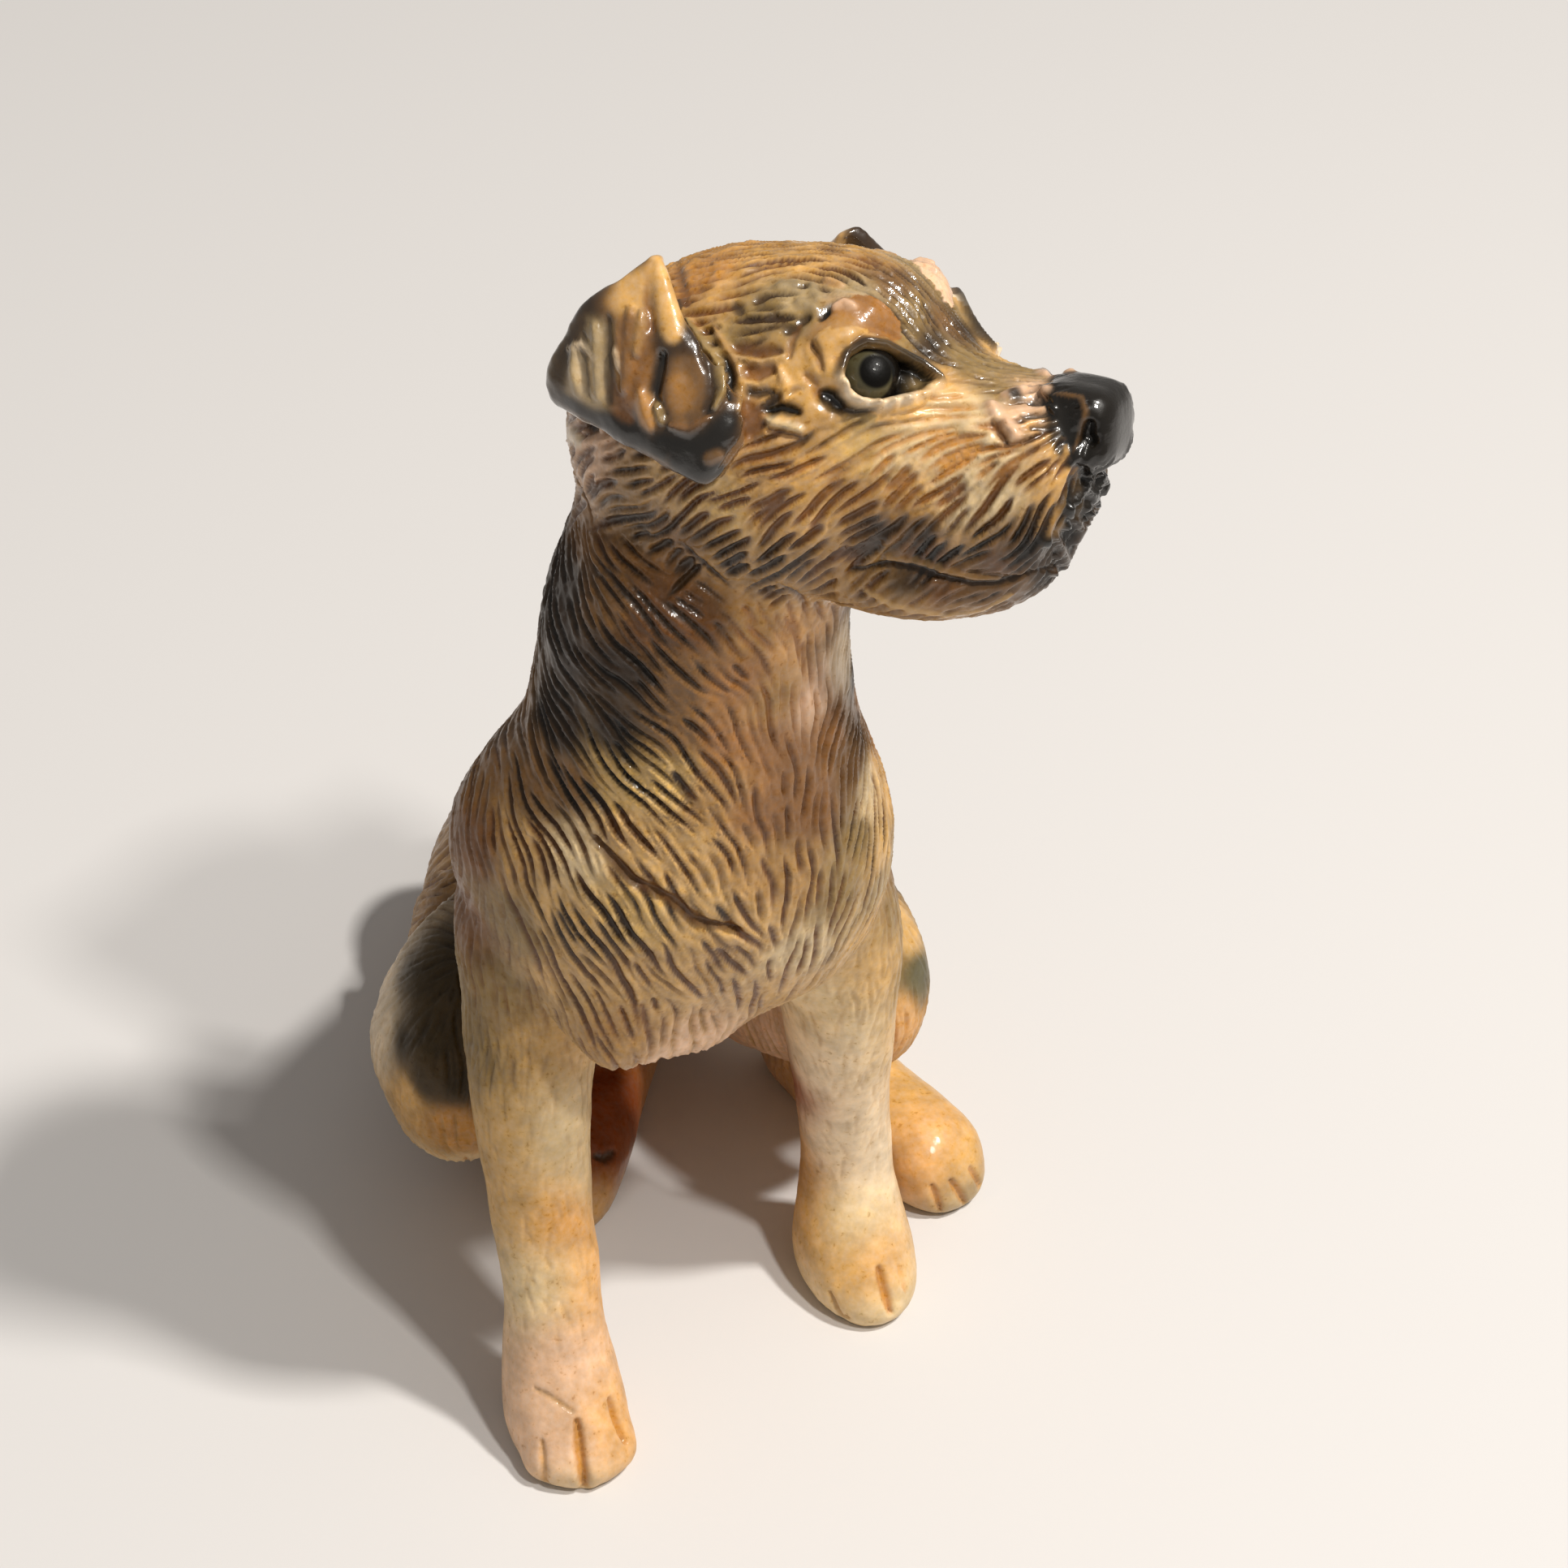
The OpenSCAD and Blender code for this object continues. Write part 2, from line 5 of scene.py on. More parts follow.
import bmesh
import bpy
import numpy as np
from mathutils import Matrix, Vector, noise
from mathutils.bvhtree import BVHTree


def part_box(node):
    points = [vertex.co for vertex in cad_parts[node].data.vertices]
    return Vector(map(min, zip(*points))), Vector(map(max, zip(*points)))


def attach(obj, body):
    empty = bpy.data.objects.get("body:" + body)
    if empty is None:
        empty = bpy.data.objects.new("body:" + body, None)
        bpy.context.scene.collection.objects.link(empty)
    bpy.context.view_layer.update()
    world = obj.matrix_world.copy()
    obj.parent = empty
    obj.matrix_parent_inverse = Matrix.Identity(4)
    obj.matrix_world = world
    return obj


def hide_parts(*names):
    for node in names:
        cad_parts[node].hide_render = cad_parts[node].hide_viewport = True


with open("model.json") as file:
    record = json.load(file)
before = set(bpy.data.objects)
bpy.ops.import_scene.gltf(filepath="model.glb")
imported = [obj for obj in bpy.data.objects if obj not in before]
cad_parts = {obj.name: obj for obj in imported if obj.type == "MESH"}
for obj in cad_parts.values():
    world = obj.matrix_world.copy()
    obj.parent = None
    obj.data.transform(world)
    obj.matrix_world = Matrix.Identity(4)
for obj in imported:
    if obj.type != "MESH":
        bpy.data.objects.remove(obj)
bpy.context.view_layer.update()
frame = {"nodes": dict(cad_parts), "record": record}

# Sizes in the sculpting steps are millimetres; the finished pieces are metres.
MM = 0.001
VOXEL = 0.5
SEED = 11
TINY = 1e-9
rng = np.random.default_rng(SEED)
noise.seed_set(SEED)

# Camera of the photograph: turned to the dog's right, above it and rolled a little
TURN = math.radians(22)
ABOVE = math.radians(40)
ROLL = math.radians(4)
TARGET = np.array([6.49, -45.59, 66.72])
DISTANCE = 430.0
# Focal length and width of the photograph in pixels, and pixels per millimetre at the chest
FOCAL = 5848.0
SIZE = 1932
PX = 13.6
UP = np.array([0.0, 0.0, 1.0])
AHEAD = np.array([math.sin(TURN), math.cos(TURN), 0.0])
ASIDE = np.array([math.cos(TURN), -math.sin(TURN), 0.0])
LOOK = AHEAD * math.cos(ABOVE) - UP * math.sin(ABOVE)
RISE = AHEAD * math.sin(ABOVE) + UP * math.cos(ABOVE)
RIGHT = ASIDE * math.cos(ROLL) + RISE * math.sin(ROLL)
TOP = RISE * math.cos(ROLL) - ASIDE * math.sin(ROLL)
EYE = TARGET - LOOK * DISTANCE

# Frame of the head, for marks that repeat on its hidden side
HEAD_PLACE = (2.5, -43.0, 106.5)
HEAD_TURNS = (("Z", 48), ("X", -12), ("Y", 18))
HEAD = Matrix.Translation(HEAD_PLACE)
for axis, angle in HEAD_TURNS:
    HEAD = HEAD @ Matrix.Rotation(math.radians(angle), 4, axis)
HEAD_BACK = HEAD.inverted()

# Pieces that share one skin
EARS = ["right_ear", "left_ear"]
LIDS = ["right_eyelids", "left_eyelids"]
BROWS = ["right_brow", "left_brow"]
FORELEGS = ["right_foreleg", "left_foreleg"]
HAUNCHES = ["right_haunch", "left_haunch"]
HIND_FEET = ["right_hind_foot", "left_hind_foot"]
HEAD_NODES = ["skull", "lower_jaw", "nose"] + LIDS + BROWS + EARS
SKIN = ["torso"] + HEAD_NODES + FORELEGS + HAUNCHES + HIND_FEET + ["tail"]
HOLLOW = ["torso", "skull"]
names = np.array(SKIN)
SLOTS = {s["node"]: s["material_slot"] for s in frame["record"]["subparts"]}


def linear(rgb):
    """A screen colour from 0 to 255 as linear light."""
    c = np.array(rgb, float) / 255
    return np.where(c <= 0.04045, c / 12.92, ((c + 0.055) / 1.055) ** 2.4)


# Glazes, as they look on the screen
GLAZE = {
    "buff": (206, 166, 109), "cream": (222, 196, 152), "yellow": (214, 176, 112),
    "peach": (218, 168, 110), "orange": (196, 142, 80), "tan": (178, 138, 86), "brown": (120, 80, 46),
    "red": (158, 112, 68), "dark": (56, 40, 25), "black": (20, 16, 11), "olive": (148, 122, 78),
    "thigh": (66, 52, 30), "grey": (176, 152, 112), "pink": (226, 186, 152), "rust": (138, 74, 42),
    "green": (94, 88, 62), "pale": (234, 210, 176), "umber": (104, 68, 38), "amber": (214, 168, 104),
    "bark": (126, 92, 56), "hazel": (158, 110, 62),
}
GLAZE = {k: linear(v) for k, v in GLAZE.items()}


# Arrays
def lengths(rows):
    return np.linalg.norm(rows, axis=1)


def unit(v):
    return v / np.linalg.norm(v)


def smooth(t):
    t = np.clip(t, 0, 1)
    return t * t * (3 - 2 * t)


def near(points, centre, radius):
    """1 at the centre, falling smoothly to 0 at the radius."""
    return smooth(1 - lengths(points - centre) / radius)


def mixed(a, b, share):
    return a * (1 - share) + b * share


def noise_over(points, size):
    """Soft noise at every point, in lumps of about this size."""
    return np.array([noise.noise(Vector(p) / size) for p in points.tolist()])


def placed(points, matrix):
    m = np.array(matrix)
    return points @ m[:3, :3].T + m[:3, 3]


# Meshes
def got(items, key, width, kind=float):
    """One attribute of many items, a row for each."""
    out = np.empty(len(items) * width, kind)
    items.foreach_get(key, out)
    return out.reshape(-1, width)


def stored(mesh, name, kind, values, domain="POINT"):
    """Keeps values on the points or the faces of a mesh."""
    key = "vector" if kind == "FLOAT_VECTOR" else "value"
    values = np.asarray(values, np.int32 if kind == "INT" else np.float32)
    mesh.attributes.new(name, kind, domain).data.foreach_set(key, values.ravel())


def points_of(mesh):
    return got(mesh.vertices, "co", 3)


def quads_of(mesh):
    return got(mesh.loops, "vertex_index", 1, np.int32).reshape(-1, 4)


def normals_of(co, quads):
    a, b, c, d = (co[quads[:, k]] for k in range(4))
    n = np.cross(c - a, d - b)
    out = np.zeros_like(co)
    for k, axis in product(range(4), range(3)):
        out[:, axis] += np.bincount(quads[:, k], n[:, axis], len(co))
    return out / np.maximum(lengths(out), 1e-12)[:, None]


def sides_of(quads):
    """The four sides of every quad, from point to point."""
    return np.concatenate([quads[:, [k, (k + 1) % 4]] for k in range(4)]).astype(np.int64)


def edges_of(quads):
    e = np.sort(sides_of(quads), axis=1)
    size = int(e.max()) + 1
    code = np.unique(e[:, 0] * size + e[:, 1])
    return np.stack([code // size, code % size], 1)


def relaxed(values, edges, rounds, amount=0.5):
    """Values drawn towards the mean of their neighbours; amount is a number or one number per point."""
    if values.ndim == 1:
        return relaxed(values[:, None], edges, rounds, amount)[:, 0]
    n = len(values)
    count = np.maximum(np.bincount(edges.ravel(), minlength=n), 1)[:, None]
    amount = np.broadcast_to(np.asarray(amount, float), (n,))[:, None]
    for _ in range(rounds):
        total = np.zeros_like(values)
        for axis in range(values.shape[1]):
            total[:, axis] = np.bincount(edges[:, 0], values[edges[:, 1], axis], n)
            total[:, axis] += np.bincount(edges[:, 1], values[edges[:, 0], axis], n)
        values = values + amount * (total / count - values)
    return values


def linked(name, data):
    obj = bpy.data.objects.new(name, data)
    bpy.context.scene.collection.objects.link(obj)
    return obj


def evaluated(mesh, kind, **settings):
    """The mesh after one modifier, as a new mesh."""
    obj = linked("work", mesh)
    mod = obj.modifiers.new("work", kind)
    for k, v in settings.items():
        setattr(mod, k, v)
    dg = bpy.context.evaluated_depsgraph_get()
    shown = obj.evaluated_get(dg)
    made = bpy.data.meshes.new_from_object(shown, preserve_all_data_layers=True, depsgraph=dg)
    bpy.data.objects.remove(obj)
    return made


# Solids of the CAD model
WELD = 0.002
LEAST_AREA = 1e-6
OFF_FACE = 0.03
ACROSS_HOLLOW = 60


def node_mesh(name):
    """Points and triangles of a CAD node."""
    obj = frame["nodes"][name]
    obj.data.calc_loop_triangles()
    co = placed(points_of(obj.data), obj.matrix_world)
    return co / MM, got(obj.data.loop_triangles, "vertices", 3, np.int32)


def solid_form(name):
    """The node's outer surface as a bmesh: hollows are dropped and their mouths are closed."""
    co, tris = node_mesh(name)
    bm = bmesh.new()
    verts = [bm.verts.new(c) for c in co.tolist()]
    for t in tris.tolist():
        try:
            bm.faces.new([verts[i] for i in t])
        except ValueError:
            # this face is there already
            pass
    bmesh.ops.remove_doubles(bm, verts=bm.verts[:], dist=WELD)
    bm.normal_update()
    if name in HOLLOW:
        tree = BVHTree.FromBMesh(bm)
        inner = []
        for f in bm.faces:
            start = f.calc_center_median() + f.normal * OFF_FACE
            if f.calc_area() > LEAST_AREA and tree.ray_cast(start, f.normal, ACROSS_HOLLOW)[0] is not None:
                inner.append(f)
        bmesh.ops.delete(bm, geom=inner, context="FACES")
    bmesh.ops.holes_fill(bm, edges=bm.edges[:], sides=0)
    bmesh.ops.triangulate(bm, faces=bm.faces[:])
    return bm


def joined_skin():
    whole = bmesh.new()
    for name in SKIN:
        part = solid_form(name)
        spare = bpy.data.meshes.new("spare")
        part.to_mesh(spare)
        whole.from_mesh(spare)
        part.free()
        bpy.data.meshes.remove(spare)
    mesh = bpy.data.meshes.new("skin")
    whole.to_mesh(mesh)
    whole.free()
    return mesh


# Base form: one skin over all pieces, smoothed, though less on the face and on the ears
EYE_REACH = 9
KEPT = 0.75
SWELL = 0.12
LUMP_HEIGHT = 0.22
LUMP_SIZE = 9.0
SMALL_LUMP_SIZE = 4.0
SOLE = 0.35
KEEP_ROUNDS = 8
FIRST_ROUNDS = 5
FORM_ROUNDS = 34

mesh = evaluated(joined_skin(), "REMESH", mode="VOXEL", voxel_size=VOXEL, adaptivity=0.0)
co = points_of(mesh)
quads = quads_of(mesh)
edges = edges_of(quads)

soup = [node_mesh(n) for n in SKIN]
offsets = np.cumsum([0] + [len(c) for c, _ in soup])
soup_tree = BVHTree.FromPolygons(
    np.concatenate([c for c, _ in soup]).tolist(),
    np.concatenate([t + o for (_, t), o in zip(soup, offsets)]).tolist(),
)
soup_node = np.concatenate([[i] * len(t) for i, (_, t) in enumerate(soup)])
owner = soup_node[[soup_tree.find_nearest(p)[2] for p in co.tolist()]]

eyes = {}
for which in ("right", "left"):
    lo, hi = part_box(which + "_eyeball")
    eyes[which] = (np.array((lo + hi) / 2) / MM, (hi - lo).x / 2 / MM)

in_head = np.isin(names[owner], HEAD_NODES)
on_face = np.isin(names[owner], LIDS + ["nose", "lower_jaw"]).astype(float)
for centre, _ in eyes.values():
    on_face = np.maximum(on_face, near(co, centre, EYE_REACH))
on_ears = np.isin(names[owner], EARS).astype(float)
keep_face, keep_ear = np.clip(relaxed(np.stack([on_face, on_ears], 1), edges, KEEP_ROUNDS), 0, 1).T
co = relaxed(co, edges, FIRST_ROUNDS)
co = relaxed(co, edges, FORM_ROUNDS, 0.5 * (1 - KEPT * keep_face) * (1 - KEPT * keep_ear))
co += SWELL * normals_of(co, quads)

# Soft hand-made unevenness, and flat soles
lumps = noise_over(co, LUMP_SIZE) + 0.5 * noise_over(co, SMALL_LUMP_SIZE)
co += (LUMP_HEIGHT * lumps * (1 - keep_face))[:, None] * normals_of(co, quads)
grounded = co[:, 2] < SOLE
co[grounded, 2] = np.minimum(co[grounded, 2], 0.0)
co[:, 2] = np.maximum(co[:, 2], 0.0)
skin_tree = BVHTree.FromPolygons(co.tolist(), quads.tolist())


# Places: pixels of the photograph cast on to the form, and their mirror images
RAY = 900
SEARCH = np.linspace(330, 560, 90)
LEAN = -2.5
LEAN_START = 40
LEAN_RISE = 40


def cast(x, y):
    """Point and normal of the form under a pixel of the photograph, or the nearest ones to its ray."""
    ray = unit(LOOK * FOCAL + RIGHT * (x - SIZE / 2) + TOP * (SIZE / 2 - y))
    p, n, _, _ = skin_tree.ray_cast(Vector(EYE), Vector(ray), RAY)
    if p is None:
        tried = [skin_tree.find_nearest(EYE + ray * t) for t in SEARCH]
        p, n, _, _ = min(tried, key=lambda found: found[3])
    return np.array(p), np.array(n)


def snap(p):
    """The nearest point of the form and its normal."""
    q, n, _, _ = skin_tree.find_nearest(Vector(p))
    return np.array(q), np.array(n)


def head_mirror(p):
    q = HEAD_BACK @ Vector(p)
    q.x = -q.x
    return np.array(HEAD @ q)


def body_mirror(p):
    """The other side of the body, whose middle leans to the right above the elbows."""
    lean = LEAN * np.clip((p[2] - LEAN_START) / LEAN_RISE, 0, 1)
    return np.array([2 * lean - p[0], p[1], p[2]])


def mirror(p, part):
    return head_mirror(p) if part == "head" else body_mirror(p)


# Pulls that finish the form: piece, pixel, radius, pixels to the right and down, and millimetres outward
PULLS = [
    ("ear", 768, 392, 6.5, -26, -20, 0.3), ("ear", 722, 450, 6.0, -18, -14, 0.5),
    ("ear", 700, 490, 5.0, -14, -4, 0.0), ("ear", 810, 330, 3.0, -3, -10, 0.0),
    ("jaw", 1240, 735, 7.0, -4, -10, 0.0), ("jaw", 1180, 750, 6.0, 0, -5, 0.0),
    ("skull", 1348, 655, 4.5, -15, -5, 0.0), ("torso", 552, 990, 25.0, 76, 52, 0.0),
    ("haunch", 506, 1105, 11.0, 62, 44, 0.0), ("haunch", 470, 1275, 8.0, -14, 0, 0.0),
    ("torso", 602, 1000, 13.0, -48, 0, 0.0), ("", 590, 1140, 12.0, -18, 0, 0.0),
    ("torso", 685, 705, 8.0, 28, 0, 0.0), ("", 528, 1058, 16.0, 58, 26, 0.0),
    ("foreleg", 672, 1822, 4.5, -16, 0, 0.0), ("foreleg", 772, 1795, 4.5, 12, 0, 0.0),
    ("torso", 762, 1262, 9.0, -6, 56, 0.0), ("torso", 862, 1266, 7.0, 0, 30, 0.0),
    ("", 735, 1300, 5.0, 0, 20, 0.0),
]
BOTH_SIDES = ("ear", "jaw", "skull")
# Creases between shoulder and flank that are stroked flat: pixel and radius
SOFTENED = [(600, 1010, 9.0), (555, 1010, 12.0), (735, 1290, 6.0)]
SOFTEN_ROUNDS = 50
SOFTEN_GAIN = 1.5
# The nose is drawn towards a box: power of its form and share of the way
NOSE_POWER = 3.4
NOSE_SHARE = 0.7
# The nape, where the neck runs into the back of the head
NAPE_Y = -46
NAPE_FADE = 10
NAPE_GAIN = 1.4
NAPE_SPREAD = 60
NAPE_ROUNDS = 200
# Rounds in which the edge of a group of pieces is softened
EDGE_ROUNDS = 4


def pulled(co):
    """The form after all pulls; those on the head work on both of its sides."""
    moved = co.copy()
    for part, x, y, radius, dx, dy, out in PULLS:
        mine = relaxed(np.array([n.endswith(part) for n in SKIN])[owner].astype(float), edges, EDGE_ROUNDS)
        p, n = cast(x, y)
        way = (RIGHT * dx - TOP * dy) / PX + n * out
        moved += (mine * near(co, p, radius))[:, None] * way
        if part in BOTH_SIDES:
            q = head_mirror(p)
            moved += (mine * near(co, q, radius))[:, None] * (head_mirror(p + way) - q)
    return moved


def squared(co, node, power, share):
    """A piece of the head drawn from a round towards a boxy form about its middle, in the head's frame."""
    mine = names[owner] == node
    local = placed(co[mine], HEAD_BACK)
    low, high = local.min(0), local.max(0)
    half = (high - low) / 2
    q = (local - (low + high) / 2) / half
    grow = lengths(q) / np.maximum((np.abs(q) ** power).sum(1) ** (1 / power), TINY)
    out = co.copy()
    out[mine] = placed((low + high) / 2 + q * half * (1 + share * (grow - 1))[:, None], HEAD)
    return relaxed(out, edges, 3, 0.5 * relaxed(mine.astype(float), edges, EDGE_ROUNDS))


co = squared(pulled(co), "nose", NOSE_POWER, NOSE_SHARE)
for x, y, radius in SOFTENED:
    p = cast(x, y)[0]
    for q in (p, body_mirror(p)):
        co = relaxed(co, edges, SOFTEN_ROUNDS, 0.5 * np.clip(SOFTEN_GAIN * near(co, q, radius), 0, 1))
border = relaxed(in_head.astype(float), edges, NAPE_SPREAD)
nape = 4 * border * (1 - border) * smooth((co[:, 1] - NAPE_Y) / NAPE_FADE)
nape_amount = 0.5 * np.clip(NAPE_GAIN * nape, 0, 1)
co = relaxed(co, edges, NAPE_ROUNDS, nape_amount)
co[:, 2] = np.maximum(co[:, 2], 0.0)
skin_tree = BVHTree.FromPolygons(co.tolist(), quads.tolist())


# Lie of the coat: pixel, direction in the picture, gap, length, half width and depth of the strokes
BODY_COAT = [
    (690, 1000, 45, 60, 1.48, 18.8, 0.37, 0.72), (760, 1040, 42, 60, 1.48, 18.8, 0.37, 0.76),
    (700, 1100, 36, 65, 1.48, 18.8, 0.37, 0.71), (640, 1090, 25, 70, 1.53, 17.5, 0.37, 0.54),
    (800, 1000, 45, 52, 1.42, 15, 0.35, 0.68), (850, 960, 40, 55, 1.42, 13.8, 0.35, 0.66),
    (780, 920, 50, 46, 1.42, 15, 0.35, 0.6), (880, 1050, 32, 60, 1.42, 11.2, 0.35, 0.6),
    (900, 1140, 45, 48, 1.53, 13.8, 0.37, 0.6), (800, 1170, 44, 60, 1.48, 16.2, 0.37, 0.63),
    (720, 1200, 40, 60, 1.53, 15, 0.37, 0.54), (640, 1190, 18, 65, 1.57, 12.5, 0.29, 0.33),
    (590, 1000, 2, 70, 1.67, 15.0, 0.29, 0.33), (578, 1100, -3, 70, 1.76, 12.5, 0.29, 0.27),
    (620, 930, 14, 70, 1.57, 15.0, 0.29, 0.38), (680, 860, 27, 60, 1.53, 13.8, 0.35, 0.53),
    (740, 800, 46, 40, 1.48, 12.5, 0.33, 0.54), (820, 820, 50, 38, 1.42, 12.5, 0.33, 0.6),
    (860, 890, 42, 48, 1.42, 11.2, 0.33, 0.56), (900, 830, 42, 46, 1.33, 10, 0.31, 0.52),
    (930, 930, 28, 60, 1.33, 10, 0.31, 0.52), (960, 1020, 18, 65, 1.33, 10, 0.31, 0.52),
    (965, 1110, 12, 65, 1.39, 10, 0.31, 0.52), (1015, 1090, -10, 65, 1.33, 10, 0.3, 0.52),
    (1020, 970, -6, 65, 1.33, 10, 0.3, 0.49), (1045, 900, -15, 60, 1.39, 10, 0.3, 0.47),
    (1060, 1010, -10, 65, 1.33, 10, 0.3, 0.49), (1075, 1100, -15, 60, 1.39, 10, 0.3, 0.47),
    (980, 870, 10, 60, 1.39, 10, 0.3, 0.49), (940, 780, 32, 48, 1.39, 8.8, 0.3, 0.47),
    (880, 750, 45, 38, 1.39, 10, 0.31, 0.52), (715, 620, 8, 60, 1.48, 11.2, 0.33, 0.54),
    (730, 700, 24, 58, 1.48, 11.2, 0.33, 0.54), (790, 730, 44, 40, 1.48, 11.2, 0.33, 0.54),
    (640, 1300, 4, 60, 1.6, 8.8, 0.28, 0.33), (590, 1300, -6, 60, 1.5, 8.0, 0.28, 0.36),
    (620, 1380, 2, 60, 1.7, 7.0, 0.25, 0.24), (1050, 1200, -14, 60, 1.67, 7.5, 0.24, 0.19),
]
HEAD_COAT = [
    (790, 600, -50, 24, 1.27, 8, 0.38, 0.7), (850, 640, -50, 30, 1.23, 8, 0.38, 0.76),
    (900, 600, -55, 30, 1.23, 8, 0.38, 0.76), (960, 560, -55, 22, 1.23, 7.2, 0.36, 0.64),
    (920, 680, -45, 34, 1.23, 8.6, 0.38, 0.76), (985, 640, -45, 34, 1.23, 8.6, 0.38, 0.76),
    (1010, 690, -40, 34, 1.23, 8, 0.38, 0.7), (770, 660, -45, 20, 1.23, 8, 0.38, 0.64),
    (1010, 570, -55, 26, 1.23, 8, 0.36, 0.64), (1180, 490, -60, 8, 1.0, 9.4, 0.28, 0.45),
    (1120, 525, -60, 15, 1.0, 9.4, 0.3, 0.48), (1180, 545, -55, 20, 1.12, 9.4, 0.35, 0.58),
    (1240, 540, -50, 22, 1.12, 8.6, 0.35, 0.57), (1120, 590, -50, 30, 1.14, 9.4, 0.36, 0.7),
    (1190, 600, -45, 40, 1.12, 9.4, 0.36, 0.7), (1250, 600, -38, 46, 1.12, 9.4, 0.36, 0.7),
    (1300, 600, -30, 50, 1.12, 8.6, 0.35, 0.58), (1130, 650, -40, 40, 1.14, 9.4, 0.36, 0.7),
    (1200, 660, -36, 48, 1.12, 9.4, 0.36, 0.7), (1270, 660, -28, 50, 1.12, 8.6, 0.36, 0.64),
    (1060, 620, -45, 30, 1.19, 8.6, 0.38, 0.7), (1060, 680, -40, 36, 1.19, 8.6, 0.38, 0.7),
    (1260, 458, -60, -5, 1.0, 7.2, 0.23, 0.34), (1205, 448, -50, -20, 1.0, 7.2, 0.23, 0.38),
    (1150, 395, -26, -45, 1.0, 10.1, 0.27, 0.48), (1125, 360, -35, -36, 1.0, 10.1, 0.27, 0.48),
    (1080, 330, -46, -22, 1.12, 10.1, 0.35, 0.57), (1000, 312, -60, -4, 1.12, 8.6, 0.35, 0.57),
    (920, 325, -60, 10, 1.14, 8.6, 0.35, 0.57), (1040, 352, -50, -12, 1.14, 7.2, 0.35, 0.57),
    (960, 365, -55, 8, 1.4, 5.8, 0.35, 0.57), (900, 395, -50, 15, 1.4, 5.8, 0.35, 0.57),
    (1165, 735, -40, 30, 1.13, 5.8, 0.28, 0.43), (1230, 725, -40, 26, 1.13, 5.8, 0.28, 0.43),
]
# The hidden back, flanks, haunches and tail: place, direction, gap, length, half width and depth
HIDDEN_COAT = [
    ((-3, -33, 92), (0, 0.35, -0.95), 1.37, 11.2, 0.29, 0.47),
    ((-3, -30, 80), (0, 0.4, -0.9), 1.37, 12.5, 0.3, 0.47),
    ((-15, -28, 74), (-0.1, 0.4, -0.9), 1.4, 12, 0.3, 0.46),
    ((12, -28, 74), (0.1, 0.4, -0.9), 1.4, 12, 0.3, 0.46),
    ((-14, -20, 62), (-0.1, 0.5, -0.85), 1.4, 13, 0.3, 0.46),
    ((12, -20, 62), (0.1, 0.5, -0.85), 1.4, 13, 0.3, 0.46),
    ((-12, -14, 50), (-0.1, 0.6, -0.8), 1.45, 13, 0.3, 0.45),
    ((12, -14, 50), (0.1, 0.6, -0.8), 1.45, 13, 0.3, 0.45),
    ((-2, -26, 68), (0, 0.6, -0.75), 1.42, 13.8, 0.3, 0.47),
    ((0, -15, 56), (0, 0.72, -0.65), 1.47, 13.8, 0.3, 0.47),
    ((0, -5, 46), (0, 0.72, -0.65), 1.47, 13.8, 0.3, 0.46),
    ((0, 7, 36), (0, 0.6, -0.8), 1.47, 13.8, 0.3, 0.46),
    ((0, 15, 24), (0, 0.25, -0.97), 1.47, 12.5, 0.3, 0.43),
    ((0, 16, 12), (0, -0.05, -1), 1.47, 10.0, 0.29, 0.4),
    ((14, -8, 40), (0.1, 0.5, -0.85), 1.47, 13.8, 0.3, 0.43),
    ((-14, -8, 40), (-0.1, 0.5, -0.85), 1.47, 13.8, 0.3, 0.43),
    ((17, -28, 54), (0.1, 0.25, -0.95), 1.47, 13.8, 0.3, 0.46),
    ((-21, -28, 54), (-0.1, 0.25, -0.95), 1.47, 13.8, 0.3, 0.4),
    ((18, -42, 60), (0, 0, -1), 1.42, 12.5, 0.3, 0.43),
    ((14, -38, 76), (0, 0.1, -1), 1.37, 12.5, 0.3, 0.46),
    ((12, -38, 92), (0, 0.1, -1), 1.37, 11.2, 0.29, 0.46),
    ((-15, -36, 84), (0, 0.2, -1), 1.37, 11.2, 0.29, 0.47),
    ((24, -8, 22), (0, 0.5, -0.85), 1.57, 11.2, 0.29, 0.32),
    ((-22, -8, 20), (0, 0.5, -0.85), 1.57, 11.2, 0.29, 0.32),
    ((30, -24, 26), (0, 0.2, -0.95), 1.67, 10.0, 0.27, 0.19),
    ((-26, -22, 22), (0, 0.2, -0.95), 1.67, 10.0, 0.27, 0.14),
    ((13, 8, 22), (0, 0.4, -0.9), 1.47, 12.5, 0.29, 0.4),
    ((-13, 8, 22), (0, 0.4, -0.9), 1.47, 12.5, 0.29, 0.4),
    ((3, 24, 7), (0.3, 0.95, -0.2), 1.27, 8.8, 0.27, 0.38),
    ((8, 31, 5), (0.5, 0.85, -0.15), 1.27, 7.5, 0.26, 0.36),
]
# Places without strokes: pixel, radius and how much is taken away
HEAD_BARE = [
    (1085, 462, 6.8, 1.0), (1030, 410, 4.6, 1.0), (985, 450, 5.0, 1.0), (930, 455, 4.2, 0.95),
    (960, 510, 3.4, 1.0), (1020, 500, 3.2, 1.0), (1262, 515, 2.8, 0.8), (1005, 385, 4.0, 0.9),
    (880, 520, 3.0, 0.8),
]
BODY_BARE = [
    (1040, 800, 4.5, 1.0), (1065, 770, 5.0, 1.0), (1005, 860, 3.2, 0.7), (700, 1300, 5.0, 0.8),
    (800, 1320, 6.0, 0.85), (900, 1290, 6.0, 0.85), (1000, 1250, 5.0, 0.8), (990, 1235, 4.0, 0.7),
    (1075, 1180, 4.0, 0.5), (510, 1220, 7.0, 0.95), (520, 1320, 6.0, 0.95), (1135, 1180, 6.0, 0.9),
]
